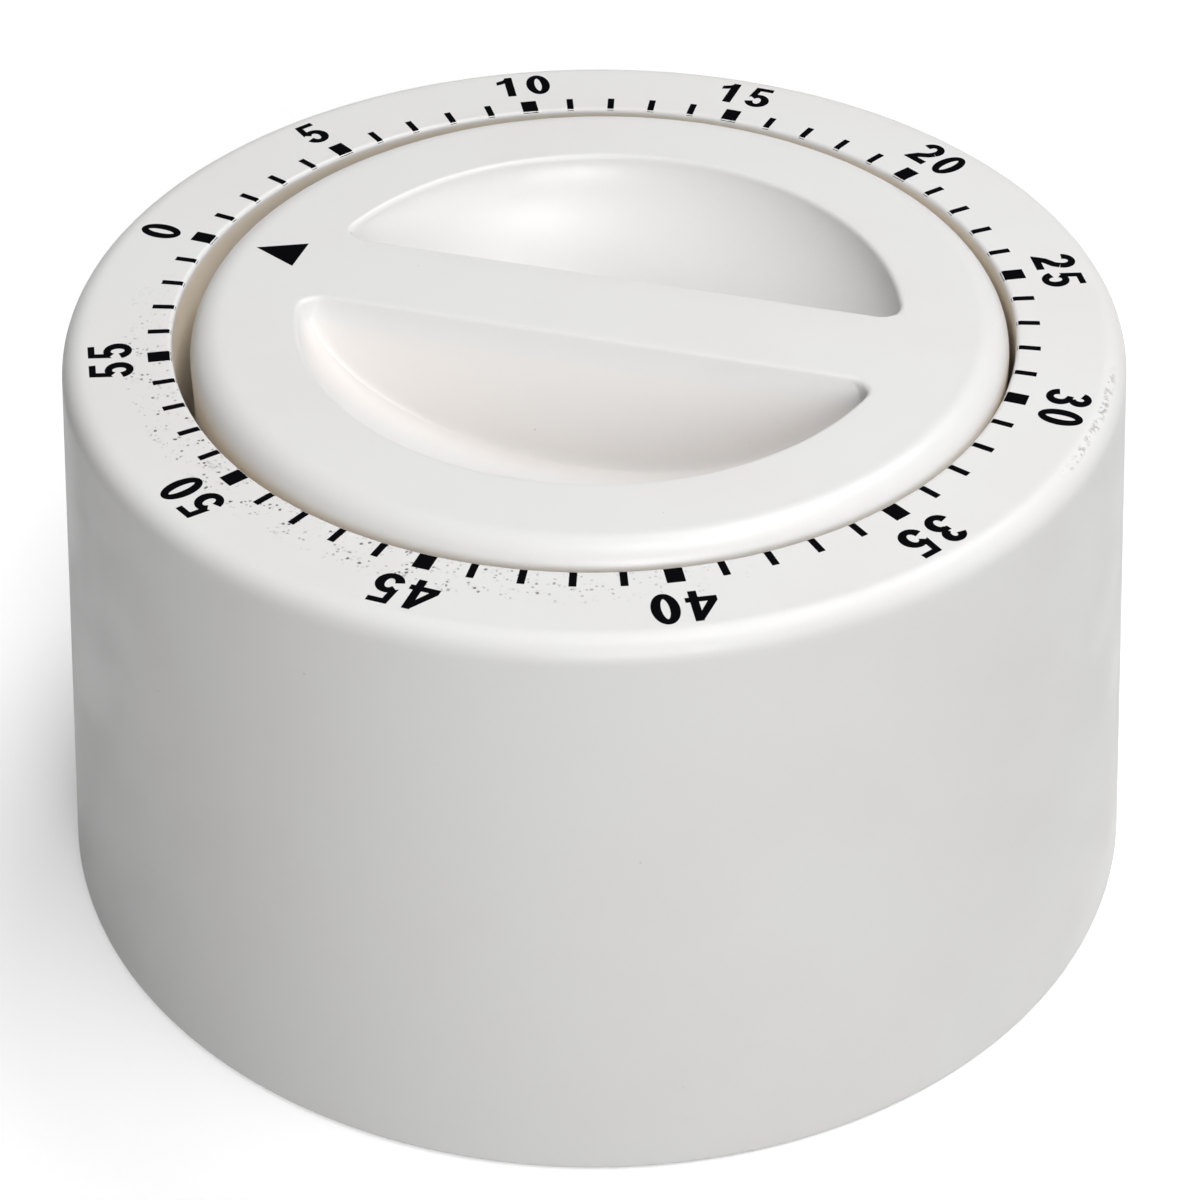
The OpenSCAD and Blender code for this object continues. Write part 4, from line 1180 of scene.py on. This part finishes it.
BRASS = Metal("brass", (0.71, 0.47, 0.17), (0.32, 0.2, 0.09), 0.28, Lay.TURNED)
PLATE = Metal("plated_steel", (0.62, 0.55, 0.38), (0.4, 0.36, 0.28), 0.36, Lay.ROLLED)
STEEL = Metal("steel", (0.52, 0.51, 0.49), (0.28, 0.25, 0.22), 0.26, Lay.TURNED)
ZINC = Metal("zinc", (0.62, 0.64, 0.66), (0.42, 0.43, 0.43), 0.34, Lay.CAST)
SPRING = Metal("blued_steel", (0.13, 0.14, 0.19), (0.22, 0.16, 0.12), 0.3, Lay.ROLLED)
NICKEL = Metal("nickel", (0.66, 0.63, 0.58), (0.4, 0.36, 0.3), 0.2, Lay.TURNED)
FIBRE = Plastic("fibre", (0.06, 0.03, 0.02), (0.11, 0.06, 0.04), 0.7)
COVER = Plastic("cover", (0.74, 0.73, 0.71), (0.68, 0.66, 0.62), 0.5)

WHITE: Colour = (0.82, 0.815, 0.81)
CLOUD: Colour = (0.8, 0.785, 0.77)

METAL_NODES: dict[Metal, tuple[str, ...]] = {
    BRASS: ("great_wheel", "second_wheel", "third_wheel", "escape_wheel", "pallet_lever"),
    PLATE: ("upper_plate", "lower_plate", "zero_cam", "hammer_arm", "release_lever", "release_finger"),
    STEEL: (
        "plate_pillars", "spring_post", "ratchet_wheel", "click", "click_pin", "strike_wheel",
        "main_arbor", "second_arbor", "third_arbor", "escape_arbor", "pallet_arbor", "strike_arbor",
        "hammer_arbor", "hammer_verge", "hammer_head", "release_arbor",
    ),
    ZINC: ("cover_screws", "pillar_nuts", "movement_screws", "balance_weight", "bell_screw"),
    SPRING: ("mainspring", "click_spring", "cam_clip", "release_spring", "hammer_spring"),
    NICKEL: ("bell",),
}


def dress(node: str, material: bpy.types.Material) -> None:
    """Gives a CAD node its material and reports it."""
    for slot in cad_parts[node].material_slots:
        slot.link = "OBJECT"
        slot.material = material
    log.info("%s: %s", node, material.name)


def dress_movement() -> None:
    """Gives every CAD node that stays its material, centred on the node's own middle."""
    for metal, nodes in METAL_NODES.items():
        for node in nodes:
            low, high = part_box(node)
            centre = ((low.x + high.x) / 2 / MM, (low.y + high.y) / 2 / MM)
            dress(node, metal.build(node, centre))
    dress("base_cover", COVER.build())
    dress("bell_washer", FIBRE.build())


# Camera, light and floor


@dataclass(frozen=True)
class Viewpoint:
    """The camera, from a fit of the dial's marks in the photograph.

    The focal length and the aim are in pixels of an image of the given width.
    """

    image: float = 1200.0
    focal: float = 3056.3
    elevation: float = 32.69
    roll: float = 0.4
    distance: float = 193.9
    aim: Pair = (594.0, 314.8)
    sensor: float = 36.0

    def back(self) -> np.ndarray:
        """Gives the direction from the dial's centre to the camera."""
        lift = math.radians(self.elevation)
        return np.array([0, -math.cos(lift), math.sin(lift)])

    def rotation(self) -> np.ndarray:
        """Works out the turn from the object's axes to the camera's.

        The camera first looks at the dial's centre from its elevation, then rolls, and then
        turns so that the centre comes to the aim's pixel.
        """
        right, back = np.array([1.0, 0, 0]), self.back()
        level = np.stack([right, np.cross(back, right), back])
        across, down = ((pixel - self.image / 2) / self.focal for pixel in self.aim)
        ray = Vector((across, -down, -1)).normalized()
        pan = np.array(Vector((0, 0, -1)).rotation_difference(ray).to_matrix())
        return pan @ turn_matrix(self.roll) @ level

    def build(self) -> None:
        """Makes the camera and takes it for the scene."""
        place = (up(SIZES.case_h) + self.back() * self.distance) * MM
        data = bpy.data.cameras.new("camera")
        data.sensor_width = self.sensor
        data.lens = self.focal / self.image * self.sensor
        data.clip_start = 0.01
        camera = link("camera", data)
        turn = Matrix(self.rotation().T.tolist()).to_4x4()
        camera.matrix_world = Matrix.Translation(Vector(place)) @ turn
        bpy.context.scene.camera = camera


@dataclass(frozen=True)
class Lamp:
    """A soft box that faces the timer's middle, its distance and size in metres.

    Its level is the light on a face turned to it.
    """

    name: str
    azimuth: float
    elevation: float
    distance: float
    size: float
    level: float
    middle: float = 20.0

    def build(self) -> None:
        """Makes the lamp."""
        data = bpy.data.lights.new(self.name, "AREA")
        data.shape = "DISK"
        data.size = self.size
        data.energy = self.level * math.pi**2 * self.distance**2
        lamp = link(self.name, data)
        turn, lift = math.radians(self.azimuth), math.radians(self.elevation)
        away = Vector((math.cos(lift) * math.cos(turn), math.cos(lift) * math.sin(turn), math.sin(lift)))
        lamp.location = away * self.distance + Vector((0, 0, self.middle * MM))
        lamp.rotation_euler = away.to_track_quat("Z", "Y").to_euler()


@dataclass(frozen=True)
class Studio:
    """The plain pale floor, the even sky and the lamps."""

    sky: float = 0.05
    floor_reach: float = 3.0
    floor_colour: float = 0.42
    floor_seen: float = 0.95
    floor_glow: float = 0.35
    lamps: tuple[Lamp, ...] = (
        Lamp("front", -80.0, 22.0, 0.55, 0.3, 0.5),
        Lamp("above", -38.0, 70.0, 0.4, 0.22, 0.4),
        Lamp("back", 50.0, 60.0, 1.0, 0.5, 0.43),
    )

    @staticmethod
    def seen(sheet: Sheet) -> Wire:
        """Gives 1 for rays from the camera or off gloss and glass, and 0 for the rest."""
        kinds = ("Camera", "Glossy", "Transmission")
        rays = [sheet.node("ShaderNodeLightPath", output=f"Is {kind} Ray") for kind in kinds]
        return rays[0].math("MAXIMUM", rays[1]).math("MAXIMUM", rays[2])

    def floor(self) -> None:
        """Makes the floor, white to the camera with the timer's shadow kept."""
        mesh = bpy.data.meshes.new("floor")
        far = self.floor_reach
        corners = [(-far, -far, 0), (far, -far, 0), (far, far, 0), (-far, far, 0)]
        mesh.from_pydata(corners, [], [(0, 1, 2, 3)])
        floor = link("floor", mesh)
        sheet = Sheet(bpy.data.materials.new("floor_paper"))
        seen = self.seen(sheet)
        paper = sheet.mix((self.floor_colour,) * 3, (self.floor_seen,) * 3, seen)
        matte = sheet.node("ShaderNodeBsdfDiffuse", {"Color": paper})
        glow = {"Color": (1.0, 1.0, 1.0), "Strength": seen * self.floor_glow}
        both = {0: matte, 1: sheet.node("ShaderNodeEmission", glow)}
        mesh.materials.append(sheet.end(sheet.node("ShaderNodeAddShader", both)))

    def world(self) -> None:
        """Makes the even sky, white to the camera."""
        sheet = Sheet(bpy.data.worlds.new("sky"))
        level = sheet.node("ShaderNodeMapRange", {"Value": self.seen(sheet), "To Min": self.sky})
        sky = sheet.node("ShaderNodeBackground", {"Strength": level})
        bpy.context.scene.world = sheet.end(sky, "ShaderNodeOutputWorld")

    def build(self) -> None:
        """Makes the stage."""
        self.floor()
        self.world()
        for lamp in self.lamps:
            lamp.build()
        bpy.context.scene.view_settings.view_transform = "Standard"


def main() -> None:
    """Builds the camera, the pieces and the stage in order."""
    logging.basicConfig(level=logging.INFO, format="%(message)s")
    Viewpoint().build()
    shell = CasePlastic("case_plastic", WHITE, CLOUD, 0.42).build()
    inside = Plastic("inner_plastic", WHITE, CLOUD, 0.45).build()
    Case().build(shell, inside)
    Knob().build(KnobPlastic("knob_plastic", WHITE, CLOUD, 0.35).build())
    Dial().build(Ink().build())
    dress_movement()
    Studio().build()


if __name__ == "__main__":
    main()
